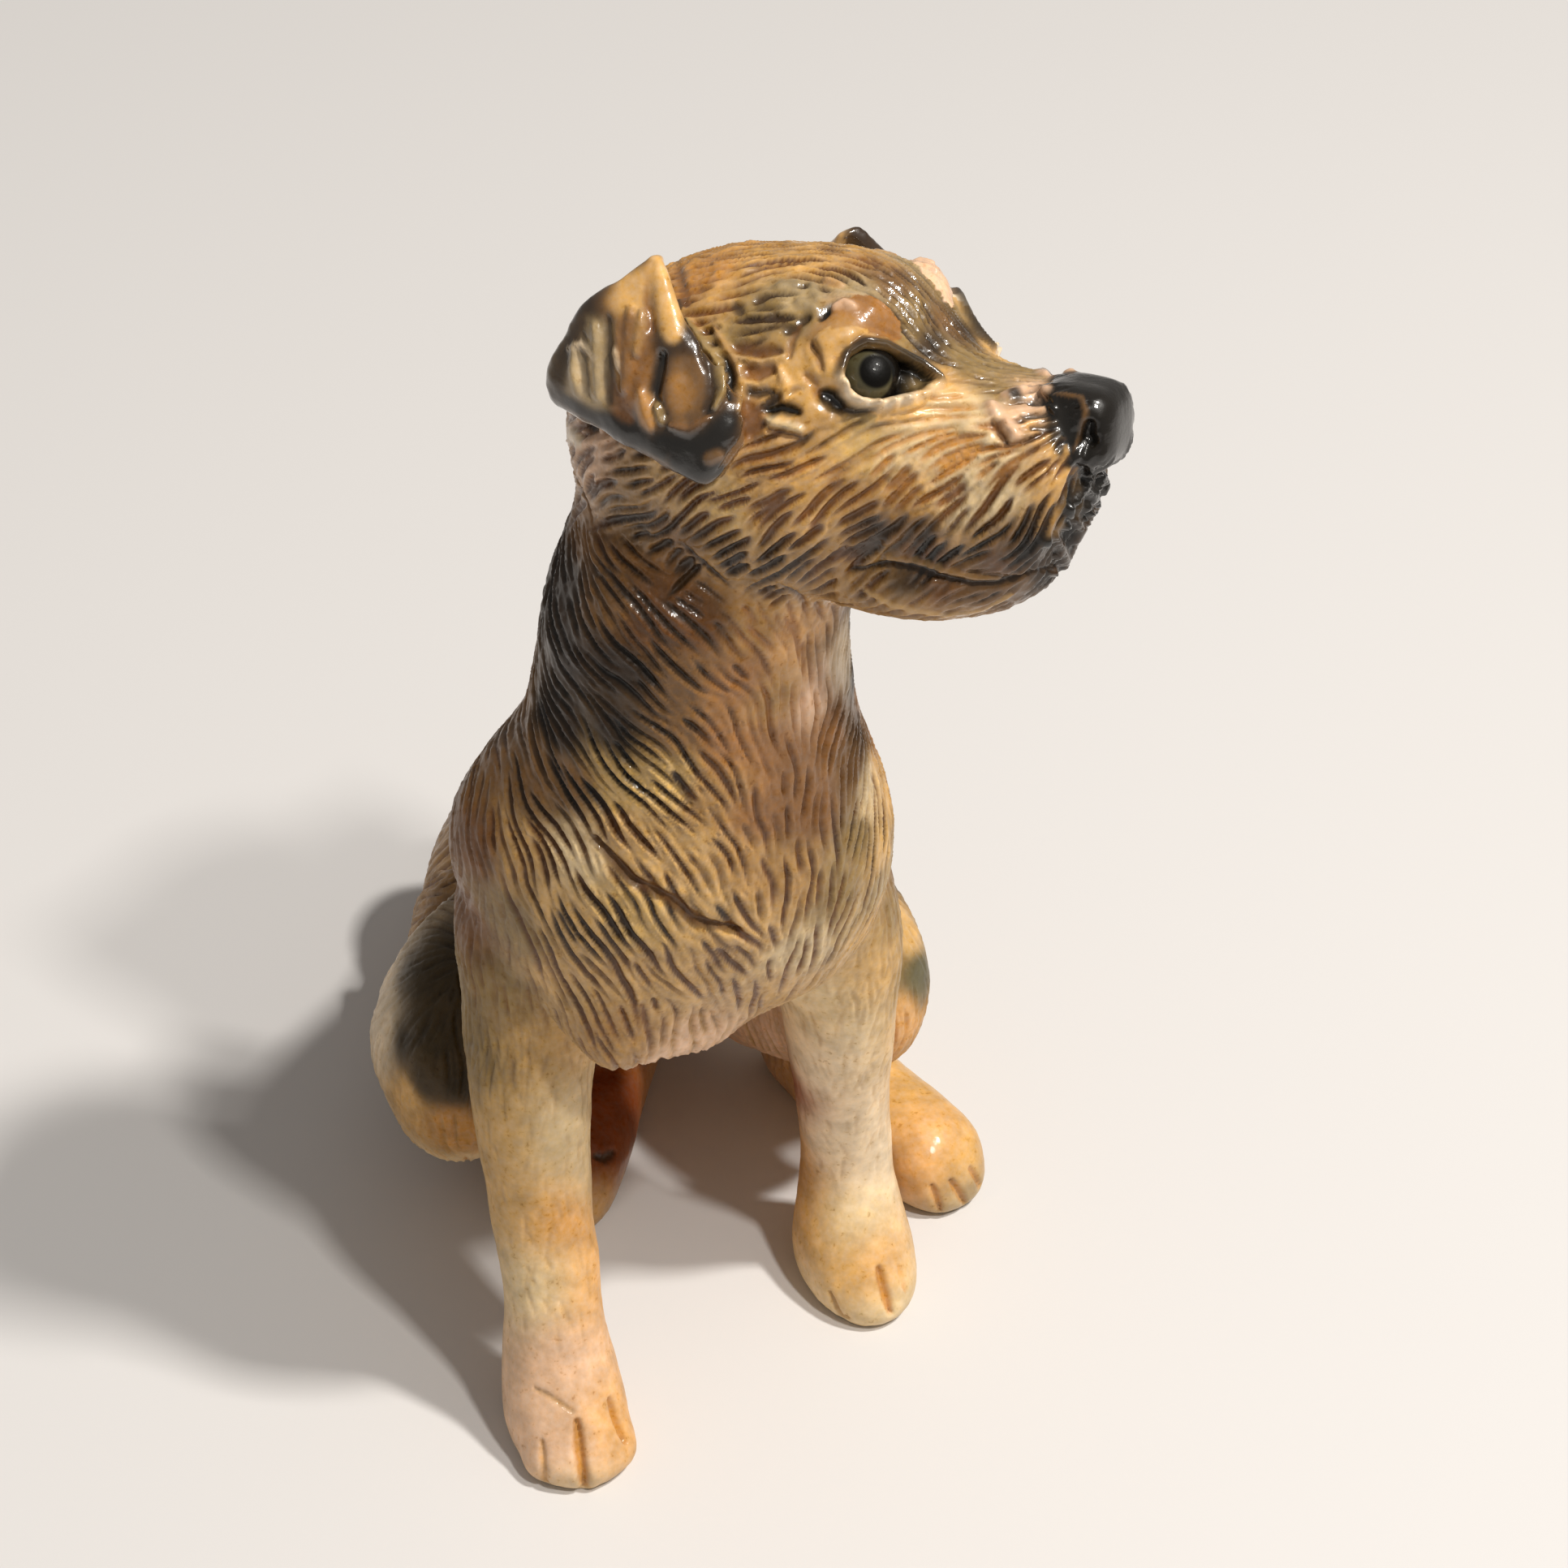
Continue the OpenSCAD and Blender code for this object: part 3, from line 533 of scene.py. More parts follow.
# Share of a direction's pixels that is cast, least distance between mirrored places, start of the left side
ARROW = 0.25
APART = 14
LEFT_SIDE = 12
# Where the coat of legs, paws and belly ends, in height, and how far back the bare belly goes
ELBOW = 34
ELBOW_FADE = 10
PAW_TOP = 5
BELLY_TOP = 42
BELLY_BARE = 36
BELLY_FADE = 6
BELLY_BACK = -16
BARE_GAIN = 1.6
# Weights by distance: how flat they are near a place and how fast they fall
COAT_SPREAD = 2.0
COAT_FALL = 1.5
PAINT_SPREAD = 1.2
PAINT_FALL = 2.2
# Share of coat on the legs and the jaw
LEG_COAT = 0.8
JAW_COAT = 0.7


def coat_field(part):
    """Places, normals, directions and styles of the coat of one part, on both of its sides."""
    rows = []
    for x, y, dx, dy, *style in BODY_COAT if part == "body" else HEAD_COAT:
        p, n = cast(x, y)
        q = cast(x + dx * ARROW, y + dy * ARROW)[0]
        rows.append((p, n, q - p, style))
        mp, mn = snap(mirror(p, part))
        if np.linalg.norm(mp - p) > APART and (part == "head" or mp[0] > LEFT_SIDE):
            rows.append((mp, mn, mirror(q, part) - mirror(p, part), style))
    if part == "body":
        for place, way, *style in HIDDEN_COAT:
            rows.append((*snap(place), np.array(way, float), style))
    places, facing, ways, styles = zip(*rows)
    return np.array(places), np.array(facing), np.array([unit(w) for w in ways]), np.array(styles)


def coat_at(p, n, part):
    """Direction of the coat along the surface and its style at a point."""
    places, facing, ways, styles = fields[part]
    d2 = ((places - p) ** 2).sum(1)
    w = np.maximum(facing @ n, 0.05) / (d2 + COAT_SPREAD) ** COAT_FALL
    w /= w.sum()
    way = w @ ways
    way = way - (way @ n) * n
    return way / max(np.linalg.norm(way), TINY), w @ styles


def coat_share(points, part):
    """How much coat a place has: none on ears, nose, lids and paws, little on legs."""
    share = np.ones(len(points))
    height = points[:, 2]
    share[np.isin(part, EARS + LIDS + BROWS + HIND_FEET + ["nose"])] = 0
    legs = np.isin(part, FORELEGS)
    share[legs] = smooth((height[legs] - ELBOW) / ELBOW_FADE) * LEG_COAT
    share[part == "lower_jaw"] = JAW_COAT
    share[(height < PAW_TOP) & (part != "tail")] = 0
    belly = (part == "torso") & (points[:, 1] < BELLY_BACK) & (height < BELLY_TOP)
    share[belly] *= np.clip((height[belly] - BELLY_BARE) / BELLY_FADE, 0, 1)
    for p, radius, taken in bare_spots:
        share *= 1 - taken * np.clip(BARE_GAIN * near(points, p, radius), 0, 1)
    return share


fields = {part: coat_field(part) for part in ("head", "body")}
bare_spots = []
for x, y, radius, taken in HEAD_BARE:
    p, _ = cast(x, y)
    bare_spots.append((p, radius, taken))
    bare_spots.append((snap(head_mirror(p))[0], radius, taken))
for x, y, radius, taken in BODY_BARE:
    bare_spots.append((cast(x, y)[0], radius, taken))

# Strokes of the tool: how many are started, how far they step and sway, and how much they vary
STARTS = 9000
HAIRS = 17000
STEP = 0.3
SWAYS = ((0.5, 4.2), (0.12, 1.8))
HAIR_STEP = 0.6
HAIR_LEAN = 0.35
HAIR_WIDTH = 0.21
LEAST_SHARE = 0.12
SHARE_GAIN = 1.6
START_ROOM = 0.85
END_ROOM = 0.5
NEXT_FIRST = 3
NEXT_EVERY = 7
LEAST_POINTS = 6
LEAST_LENGTH = 1.5
VARY_GAP = (0.72, 1.0)
VARY_LENGTH = (0.5, 1.5)
VARY_WIDTH = (0.75, 1.2)
VARY_DEPTH = (0.75, 1.15)
VARY_INK = (0.5, 1.0)
HAIR_DEPTH = (0.05, 0.13)
HAIR_STEPS = (3, 8)
HEAD_HAIR = 1.6
LEG_HAIR = 0.25
LEG_HAIR_FROM = 12
LEG_HAIR_FADE = 10


class Strokes:
    """Points along the strokes, with a cell table that tells how close the next one would be."""

    CELL = 1.6
    STRETCH = 5.0

    def __init__(self):
        self.rows = []
        self.cells = {}

    def crowded(self, p, gap, way):
        """Whether a stroke lies within the gap beside p; ahead and behind it may come closer."""
        x, y, z = p
        u, v, w = way
        spans = [range(math.floor((c - gap) / self.CELL), math.floor((c + gap) / self.CELL) + 1) for c in p]
        for cell in product(*spans):
            for qx, qy, qz in self.cells.get(cell, ()):
                dx, dy, dz = qx - x, qy - y, qz - z
                along = dx * u + dy * v + dz * w
                if dx * dx + dy * dy + dz * dz + self.STRETCH * along * along < gap * gap:
                    return True
        return False

    def add(self, points, facing, width, depth, ink):
        """A stroke that runs out to a point at both ends."""
        for p in points:
            self.cells.setdefault(tuple(math.floor(v / self.CELL) for v in p), []).append(tuple(p))
        between = [(p + q) / 2 for p, q in zip(points, points[1:])]
        dense = [p for pair in zip(points, between) for p in pair] + points[-1:]
        for i, p in enumerate(dense):
            t = (i + 0.5) / len(dense)
            fade = min(1.0, 1.25 * math.sin(math.pi * t ** 0.8)) ** 0.8
            self.rows.append((p, facing[i // 2], width * (0.4 + 0.6 * fade), depth * fade, ink))


def trace(p, n, part, length, gap, coat):
    """A stroke through p along the coat, cut short where it meets another stroke."""
    runs = []
    for sign in (-1, 1):
        run, q, m, gone = [], p, n, 0.0
        while gone < length / 2:
            way, _ = coat_at(q, m, part)
            sway = sum(share * noise.noise(Vector(q) / size) for share, size in SWAYS)
            way = way + sway * np.cross(m, way)
            q, m = snap(q + sign * STEP * way / np.linalg.norm(way))
            gone += STEP
            if coat.crowded(q, gap, way):
                break
            run.append((q, m))
        runs.append(run)
    line = runs[0][::-1] + [(p, n)] + runs[1]
    return [a for a, _ in line], [b for _, b in line]


corners = co[quads]
face_area = lengths(np.cross(corners[:, 2] - corners[:, 0], corners[:, 3] - corners[:, 1]))
face_middle = corners.mean(1)
face_name = names[owner[quads[:, 0]]]
face_share = coat_share(face_middle, face_name)
face_part = np.where(in_head[quads[:, 0]], "head", "body")


def brushed_coat():
    """Strokes side by side over the coat: each starts a gap away from the last where there is room."""
    coat = Strokes()
    chance = face_area * np.clip(face_share, 0, 1)
    for f in rng.choice(len(chance), size=STARTS, p=chance / chance.sum()):
        waiting = [face_middle[f]]
        while waiting:
            p, n, at, _ = skin_tree.find_nearest(Vector(waiting.pop()))
            p, n = np.array(p), np.array(n)
            share = face_share[at]
            if share < LEAST_SHARE or rng.random() > share * SHARE_GAIN:
                continue
            way, (gap, length, width, depth) = coat_at(p, n, face_part[at])
            gap *= rng.uniform(*VARY_GAP)
            if coat.crowded(p, gap * START_ROOM, way):
                continue
            length *= rng.uniform(*VARY_LENGTH)
            points, facing = trace(p, n, face_part[at], length, gap * END_ROOM, coat)
            if len(points) < LEAST_POINTS or np.linalg.norm(points[-1] - points[0]) < LEAST_LENGTH:
                continue
            coat.add(points, facing, width * rng.uniform(*VARY_WIDTH),
                     depth * math.sqrt(share) * rng.uniform(*VARY_DEPTH), rng.uniform(*VARY_INK))
            for i in range(NEXT_FIRST, len(points), NEXT_EVERY):
                across = np.cross(facing[i], points[min(i + 1, len(points) - 1)] - points[i - 1])
                across *= gap / max(np.linalg.norm(across), TINY)
                waiting += [points[i] + across, points[i] - across]
    return coat


def fine_hair():
    """Short shallow scratches along the coat, between and across the strokes."""
    hair = Strokes()
    legs = np.isin(face_name, FORELEGS)
    leg_share = LEG_HAIR * legs * smooth((face_middle[:, 2] - LEG_HAIR_FROM) / LEG_HAIR_FADE)
    chance = face_area * np.maximum(face_share, leg_share)
    chance[face_part == "head"] *= HEAD_HAIR
    for f in rng.choice(len(chance), size=HAIRS, p=chance / chance.sum()):
        q, m = snap(face_middle[f])
        line = [(q, m)]
        lean = rng.uniform(-HAIR_LEAN, HAIR_LEAN)
        for _ in range(rng.integers(*HAIR_STEPS)):
            way, _ = coat_at(q, m, face_part[f])
            way = way + lean * np.cross(m, way)
            p, n = snap(q + HAIR_STEP * way / np.linalg.norm(way))
            line += [((q + p) / 2, m), (p, n)]
            q, m = p, n
        hair.add([p for p, _ in line], [n for _, n in line], HAIR_WIDTH, rng.uniform(*HAIR_DEPTH), 1.0)
    return hair


coat = brushed_coat()
hair = fine_hair()
normals = normals_of(co, quads)

# Glaze on the coat: colour of the raised hair and colour in the grooves, and the pixels where they lie
BODY_PAINT = {
    ("bark", "umber"): [(720, 640), (1050, 950), (600, 950)],
    ("dark", "black"): [(690, 720), (700, 810), (770, 830), (690, 890), (760, 900)],
    ("bark", "dark"): [(740, 740), (840, 840), (640, 870), (830, 900), (650, 960)],
    ("umber", "dark"): [(800, 760), (860, 770)],
    ("tan", "red"): [(930, 770), (960, 860)],
    ("peach", "red"): [(985, 780)],
    ("pale", "tan"): [
        (1040, 800), (1075, 765), (1080, 800), (1078, 715), (1000, 1320), (1060, 1290), (1035, 1400),
        (1070, 1440), (475, 1200), (468, 1275),
    ],
    ("pink", "red"): [(1000, 860), (1066, 850)],
    ("red", "brown"): [(1080, 900), (900, 920), (960, 930)],
    ("red", "umber"): [(910, 840), (1020, 900), (940, 1000), (1000, 1000)],
    ("bark", "black"): [(700, 970)],
    ("yellow", "black"): [(760, 960)],
    ("yellow", "dark"): [(820, 960), (780, 1130)],
    ("tan", "umber"): [(880, 980), (920, 1070), (980, 1080)],
    ("olive", "dark"): [(1060, 1030), (590, 1300)],
    ("brown", "umber"): [(585, 1040), (575, 1130)],
    ("buff", "umber"): [
        (640, 1040), (780, 1040), (850, 1060), (930, 1150), (700, 1220), (790, 1210), (870, 1210),
    ],
    ("cream", "umber"): [(710, 1050)],
    ("olive", "umber"): [(1030, 1100), (630, 1130)],
    ("grey", "umber"): [(1085, 1090)],
    ("buff", "dark"): [(700, 1140), (860, 1120)],
    ("cream", "brown"): [(990, 1170)],
    ("buff", "olive"): [(1050, 1170), (1085, 1200), (620, 1390)],
    ("olive", "bark"): [(570, 1220)],
    ("olive", "brown"): [(620, 1220)],
    ("buff", "brown"): [(950, 1220), (660, 1290)],
    ("cream", "tan"): [
        (1020, 1230), (690, 1390), (725, 1440), (660, 1590), (700, 1835), (1045, 1500), (1060, 1625),
        (1110, 1600), (1010, 1600),
    ],
    ("tan", "brown"): [(760, 1280), (505, 1150)],
    ("pink", "tan"): [(850, 1290), (930, 1270), (690, 1670), (660, 1790)],
    ("buff", "tan"): [(630, 1490), (1122, 1150)],
    ("orange", "tan"): [(700, 1500), (555, 1385)],
    ("peach", "tan"): [(725, 1590)],
    ("pink", "peach"): [(705, 1790)],
    ("peach", "orange"): [(755, 1760), (1090, 1570), (1150, 1400), (1120, 1430), (1112, 1270)],
    ("rust", "rust"): [(978, 1330), (780, 1365), (755, 1420)],
    ("orange", "rust"): [(985, 1430), (800, 1345)],
    ("amber", "rust"): [(993, 1510)],
    ("amber", "orange"): [(1045, 1570), (1105, 1340), (1195, 1430)],
    ("grey", "tan"): [(1192, 1472)],
    ("green", "dark"): [(1133, 1198)],
    ("thigh", "black"): [(522, 1210), (528, 1280), (497, 1290), (520, 1335), (560, 1345)],
    ("amber", "tan"): [(505, 1350)],
    ("tan", "rust"): [(748, 1490)],
}
HEAD_PAINT = {
    ("pink", "brown"): [(735, 560)],
    ("tan", "dark"): [
        (770, 590), (770, 650), (900, 690), (970, 700), (1290, 630), (1080, 685), (925, 455), (1010, 530),
    ],
    ("buff", "umber"): [(830, 600)],
    ("yellow", "brown"): [(890, 620)],
    ("amber", "brown"): [(950, 620), (1010, 640), (880, 380)],
    ("bark", "dark"): [
        (830, 670), (1080, 650), (1130, 650), (1165, 400), (1100, 350), (1210, 738), (1250, 722),
    ],
    ("tan", "umber"): [(1030, 700), (1070, 722)],
    ("tan", "brown"): [(1060, 610), (940, 565), (1060, 320), (1180, 755), (1120, 748)],
    ("amber", "hazel"): [(1000, 575), (1130, 610)],
    ("yellow", "tan"): [(1060, 550)],
    ("cream", "orange"): [(1110, 560), (1160, 520), (1120, 500), (1200, 500), (1190, 560)],
    ("amber", "tan"): [(1170, 475), (985, 450), (1000, 490)],
    ("cream", "hazel"): [(1240, 560)],
    ("cream", "brown"): [(1180, 620)],
    ("cream", "umber"): [(1235, 615)],
    ("amber", "umber"): [(1285, 590), (1300, 570), (1000, 325), (930, 325)],
    ("bark", "black"): [(1250, 660)],
    ("tan", "black"): [(1190, 670)],
    ("brown", "black"): [(1140, 685)],
    ("umber", "black"): [(1225, 695)],
    ("dark", "black"): [(1280, 680), (1150, 425), (1113, 722), (1290, 708)],
    ("black", "black"): [(1320, 660), (1345, 610), (1365, 590), (1315, 690)],
    ("olive", "dark"): [
        (1225, 450), (1270, 455), (1185, 440), (1130, 380), (1110, 400), (940, 380), (1000, 395),
        (900, 420), (1060, 515),
    ],
    ("pink", "dark"): [(1285, 480), (1045, 385)],
    ("pink", "umber"): [(1250, 505)],
    ("peach", "dark"): [(1265, 530)],
    ("grey", "dark"): [(1060, 360), (980, 360)],
    ("orange", "red"): [(870, 340)],
    ("hazel", "brown"): [(1030, 410)],
    ("amber", "dark"): [(960, 510)],
    ("brown", "dark"): [(920, 520), (1160, 735)],
    ("amber", "olive"): [(1080, 410)],
}
# Glaze of the hidden sides, by places
HIDDEN_PAINT = {
    ("dark", "black"): [
        (-3, -33, 96), (-3, -31, 82), (-2, -26, 68), (0, -15, 56), (0, -4, 46), (0, 8, 35), (0, -20, 62),
        (0, -10, 51), (0, 2, 41),
    ],
    ("bark", "dark"): [(0, 15, 22), (-20, -4, 24), (3, 22, 8)],
    ("tan", "brown"): [(0, 16, 8), (-24, -12, 10), (13, 10, 12), (-13, 10, 12)],
    ("olive", "umber"): [(14, -8, 40)],
    ("bark", "umber"): [(-14, -8, 40), (-20, -26, 54)],
    ("tan", "umber"): [(17, -26, 54), (22, -4, 24), (8, 32, 6)],
    ("buff", "umber"): [(18, -42, 60)],
    ("red", "umber"): [(15, -40, 76), (12, -38, 92)],
    ("amber", "tan"): [(27, -16, 14)],
    ("olive", "dark"): [(30, -22, 26)],
    ("amber", "orange"): [(26, -30, 5), (-20, -26, 5)],
    ("cream", "orange"): [(-20, -36, 4)],
}
# Glaze of whole small pieces
PLAIN = {
    "nose": "black", "right_eyelids": "amber", "left_eyelids": "pale", "right_brow": "hazel",
    "left_brow": "pink",
}
# How far the edges of the glazes wander, and which places are painted on the other side too
WANDER = 3.5
HEAD_APART = 6
FLANK_X = -13
FLANK_Z = 30
# Rounds in which the glazes run together: everywhere, on the legs, at the edge of the head, at the nape
PAINT_ROUNDS = 2
LEG_PAINT_ROUNDS = 40
HEAD_EDGE_SPREAD = 20
HEAD_EDGE_ROUNDS = 40
NAPE_PAINT_ROUNDS = 240


def paint_rows(table, part):
    """Places, normals and glaze pairs, with the other side of the head and of the flank."""
    rows = []
    for glazes, pixels in table.items():
        for x, y in pixels:
            p, n = cast(x, y)
            rows.append((p, n, glazes))
            q, m = snap(mirror(p, part))
            flank = p[0] < FLANK_X and p[2] > FLANK_Z
            if flank if part == "body" else np.linalg.norm(q - p) > HEAD_APART:
                rows.append((q, m, glazes))
    return rows


def brushed(points, facing, rows):
    """The glaze of the raised hair and of the grooves at every point, side by side."""
    total = np.zeros(len(points))
    both = np.zeros((len(points), 6))
    for p, n, (top, low) in rows:
        d2 = ((points - p) ** 2).sum(1)
        w = np.clip(facing @ n + 0.3, 0.03, 1) / (d2 + PAINT_SPREAD) ** PAINT_FALL
        total += w
        both += w[:, None] * np.concatenate([GLAZE[top], GLAZE[low]])
    return both / total[:, None]


roaming = co + np.array([noise.noise_vector(Vector(p) / WANDER) for p in co.tolist()])
hidden_rows = [(*snap(p), glazes) for glazes, places in HIDDEN_PAINT.items() for p in places]
both = np.zeros((len(co), 6))
for here, rows in (
    (in_head, paint_rows(HEAD_PAINT, "head")),
    (~in_head, paint_rows(BODY_PAINT, "body") + hidden_rows),
):
    both[here] = brushed(roaming[here], normals[here], rows)
both = relaxed(both, edges, PAINT_ROUNDS)
legs = 0.5 * np.isin(names[owner], FORELEGS + HIND_FEET)
both = relaxed(both, edges, LEG_PAINT_ROUNDS, relaxed(legs, edges, EDGE_ROUNDS))
border = relaxed(in_head.astype(float), edges, HEAD_EDGE_SPREAD)
both = relaxed(both, edges, HEAD_EDGE_ROUNDS, 2.0 * border * (1 - border))
both = relaxed(both, edges, NAPE_PAINT_ROUNDS, nape_amount)

# Finer skin for the cut surface
stored(mesh, "part", "INT", owner[quads[:, 0]], "FACE")
stored(mesh, "light", "FLOAT_VECTOR", both[:, :3])
stored(mesh, "deep", "FLOAT_VECTOR", both[:, 3:])
mesh.vertices.foreach_set("co", co.ravel())
mesh = evaluated(mesh, "SUBSURF", levels=1, render_levels=1)
part_of_face = got(mesh.attributes["part"].data, "value", 1, np.int32)[:, 0]
light = got(mesh.attributes["light"].data, "vector", 3, np.float32).astype(float)
deep = got(mesh.attributes["deep"].data, "vector", 3, np.float32).astype(float)
co = points_of(mesh)
quads = quads_of(mesh)
edges = edges_of(quads)
normals = relaxed(normals_of(co, quads), edges, 4)
normals /= lengths(normals)[:, None]
owner = np.zeros(len(co), np.int32)
owner[quads.ravel()] = np.repeat(part_of_face, 4)
part_name = names[owner]
on_head = np.isin(part_name, HEAD_NODES)


class Grid:
    """Points sorted into cells, for finding the ones near a stroke."""

    CELL = 1.2
    MARGIN = 8
    BLOCK = 20000

    def __init__(self, points):
        self.points = points
        self.low = points.min(0) - self.MARGIN * self.CELL
        self.span = np.ceil((points.max(0) - self.low) / self.CELL).astype(np.int64) + 2 * self.MARGIN
        keys = self.key(self.home(points))
        self.order = np.argsort(keys, kind="stable")
        self.ranked = keys[self.order]

    def home(self, points):
        return np.floor((points - self.low) / self.CELL).astype(np.int64)

    def key(self, ix):
        return (ix[:, 0] * self.span[1] + ix[:, 1]) * self.span[2] + ix[:, 2]

    def pairs(self, places, radius):
        """Yields arrays of point numbers, place numbers and distances, for pairs within the radius."""
        home = self.home(places)
        n = int(math.ceil(radius / self.CELL))
        for shift in product(range(-n, n + 1), repeat=3):
            k = self.key(home + shift)
            first = np.searchsorted(self.ranked, k)
            last = np.searchsorted(self.ranked, k, side="right")
            for block in np.array_split(np.arange(len(places)), max(1, len(places) // self.BLOCK)):
                number = (last - first)[block]
                total = int(number.sum())
                if not total:
                    continue
                s = np.repeat(block, number)
                v = self.order[first[s] + np.arange(total) - np.repeat(np.cumsum(number) - number, number)]
                r = lengths(self.points[v] - places[s])
                good = r < radius
                yield v[good], s[good], r[good]


# How far a groove reaches in half widths, where its lip stands, and how both show
REACH = 2.3
LIP_AT = 1.55
LIP_WIDTH = 0.45
LIP_HEIGHT = 0.4
GROOVE_POWER = 2.6
FACING_LEAST = 0.15
INK_FROM = 0.07
INK_FADE = 0.33
SCRATCH_SHADE = 0.35
SCRATCH_FULL = 0.12
BLUR = 0.35
GRAIN_SIZE = 0.8
GRAIN_HEIGHT = 0.045
# Gloss of the glaze on head, body, legs, and in dark and other marks
HEAD_WET = 0.75
BODY_WET = 0.6
LEG_WET = 0.5
DARK_WET = 0.9
MARK_WET = 0.6
grid = Grid(co)


def splat(strokes):
    """Depth of the deepest groove, height of its lip and its share of dark glaze at every point."""
    groove, lip, inked = np.zeros((3, len(co)))
    places, facing, width, depth, ink = map(np.array, zip(*strokes.rows))
    for v, s, r in grid.pairs(places, float(width.max()) * REACH):
        t = r / width[s]
        good = (t < REACH) & ((normals[v] * facing[s]).sum(1) > FACING_LEAST)
        v, s, t = v[good], s[good], t[good]
        cut = depth[s] * np.exp(-(t**GROOVE_POWER))
        np.maximum.at(groove, v, cut)
        np.maximum.at(inked, v, cut * ink[s])
        np.maximum.at(lip, v, depth[s] * np.exp(-(((t - LIP_AT) / LIP_WIDTH) ** 2)))
    return groove, lip, inked


groove, lip, inked = splat(coat)
scratch = splat(hair)[0]
grains = [Vector(p) for p in (co / GRAIN_SIZE).tolist()]
grain = np.array([noise.noise(p) + 0.6 * noise.noise(0.45 * p) for p in grains])
lift = relaxed(LIP_HEIGHT * lip - groove - scratch, edges, 1, BLUR)
inked = relaxed(inked, edges, 1, BLUR)
lift += GRAIN_HEIGHT * grain * np.where(on_head, 1.0, 0.6) * (part_name != "nose")

for piece, glaze in PLAIN.items():
    light[part_name == piece] = GLAZE[glaze]
    deep[part_name == piece] = GLAZE[glaze]
shade = smooth((inked - INK_FROM) / INK_FADE) + SCRATCH_SHADE * np.clip(scratch / SCRATCH_FULL, 0, 1)
colour = mixed(light, deep, np.clip(shade, 0, 1)[:, None])
wet = np.where(on_head, HEAD_WET, BODY_WET)
wet[np.isin(part_name, FORELEGS + HAUNCHES)] = LEG_WET

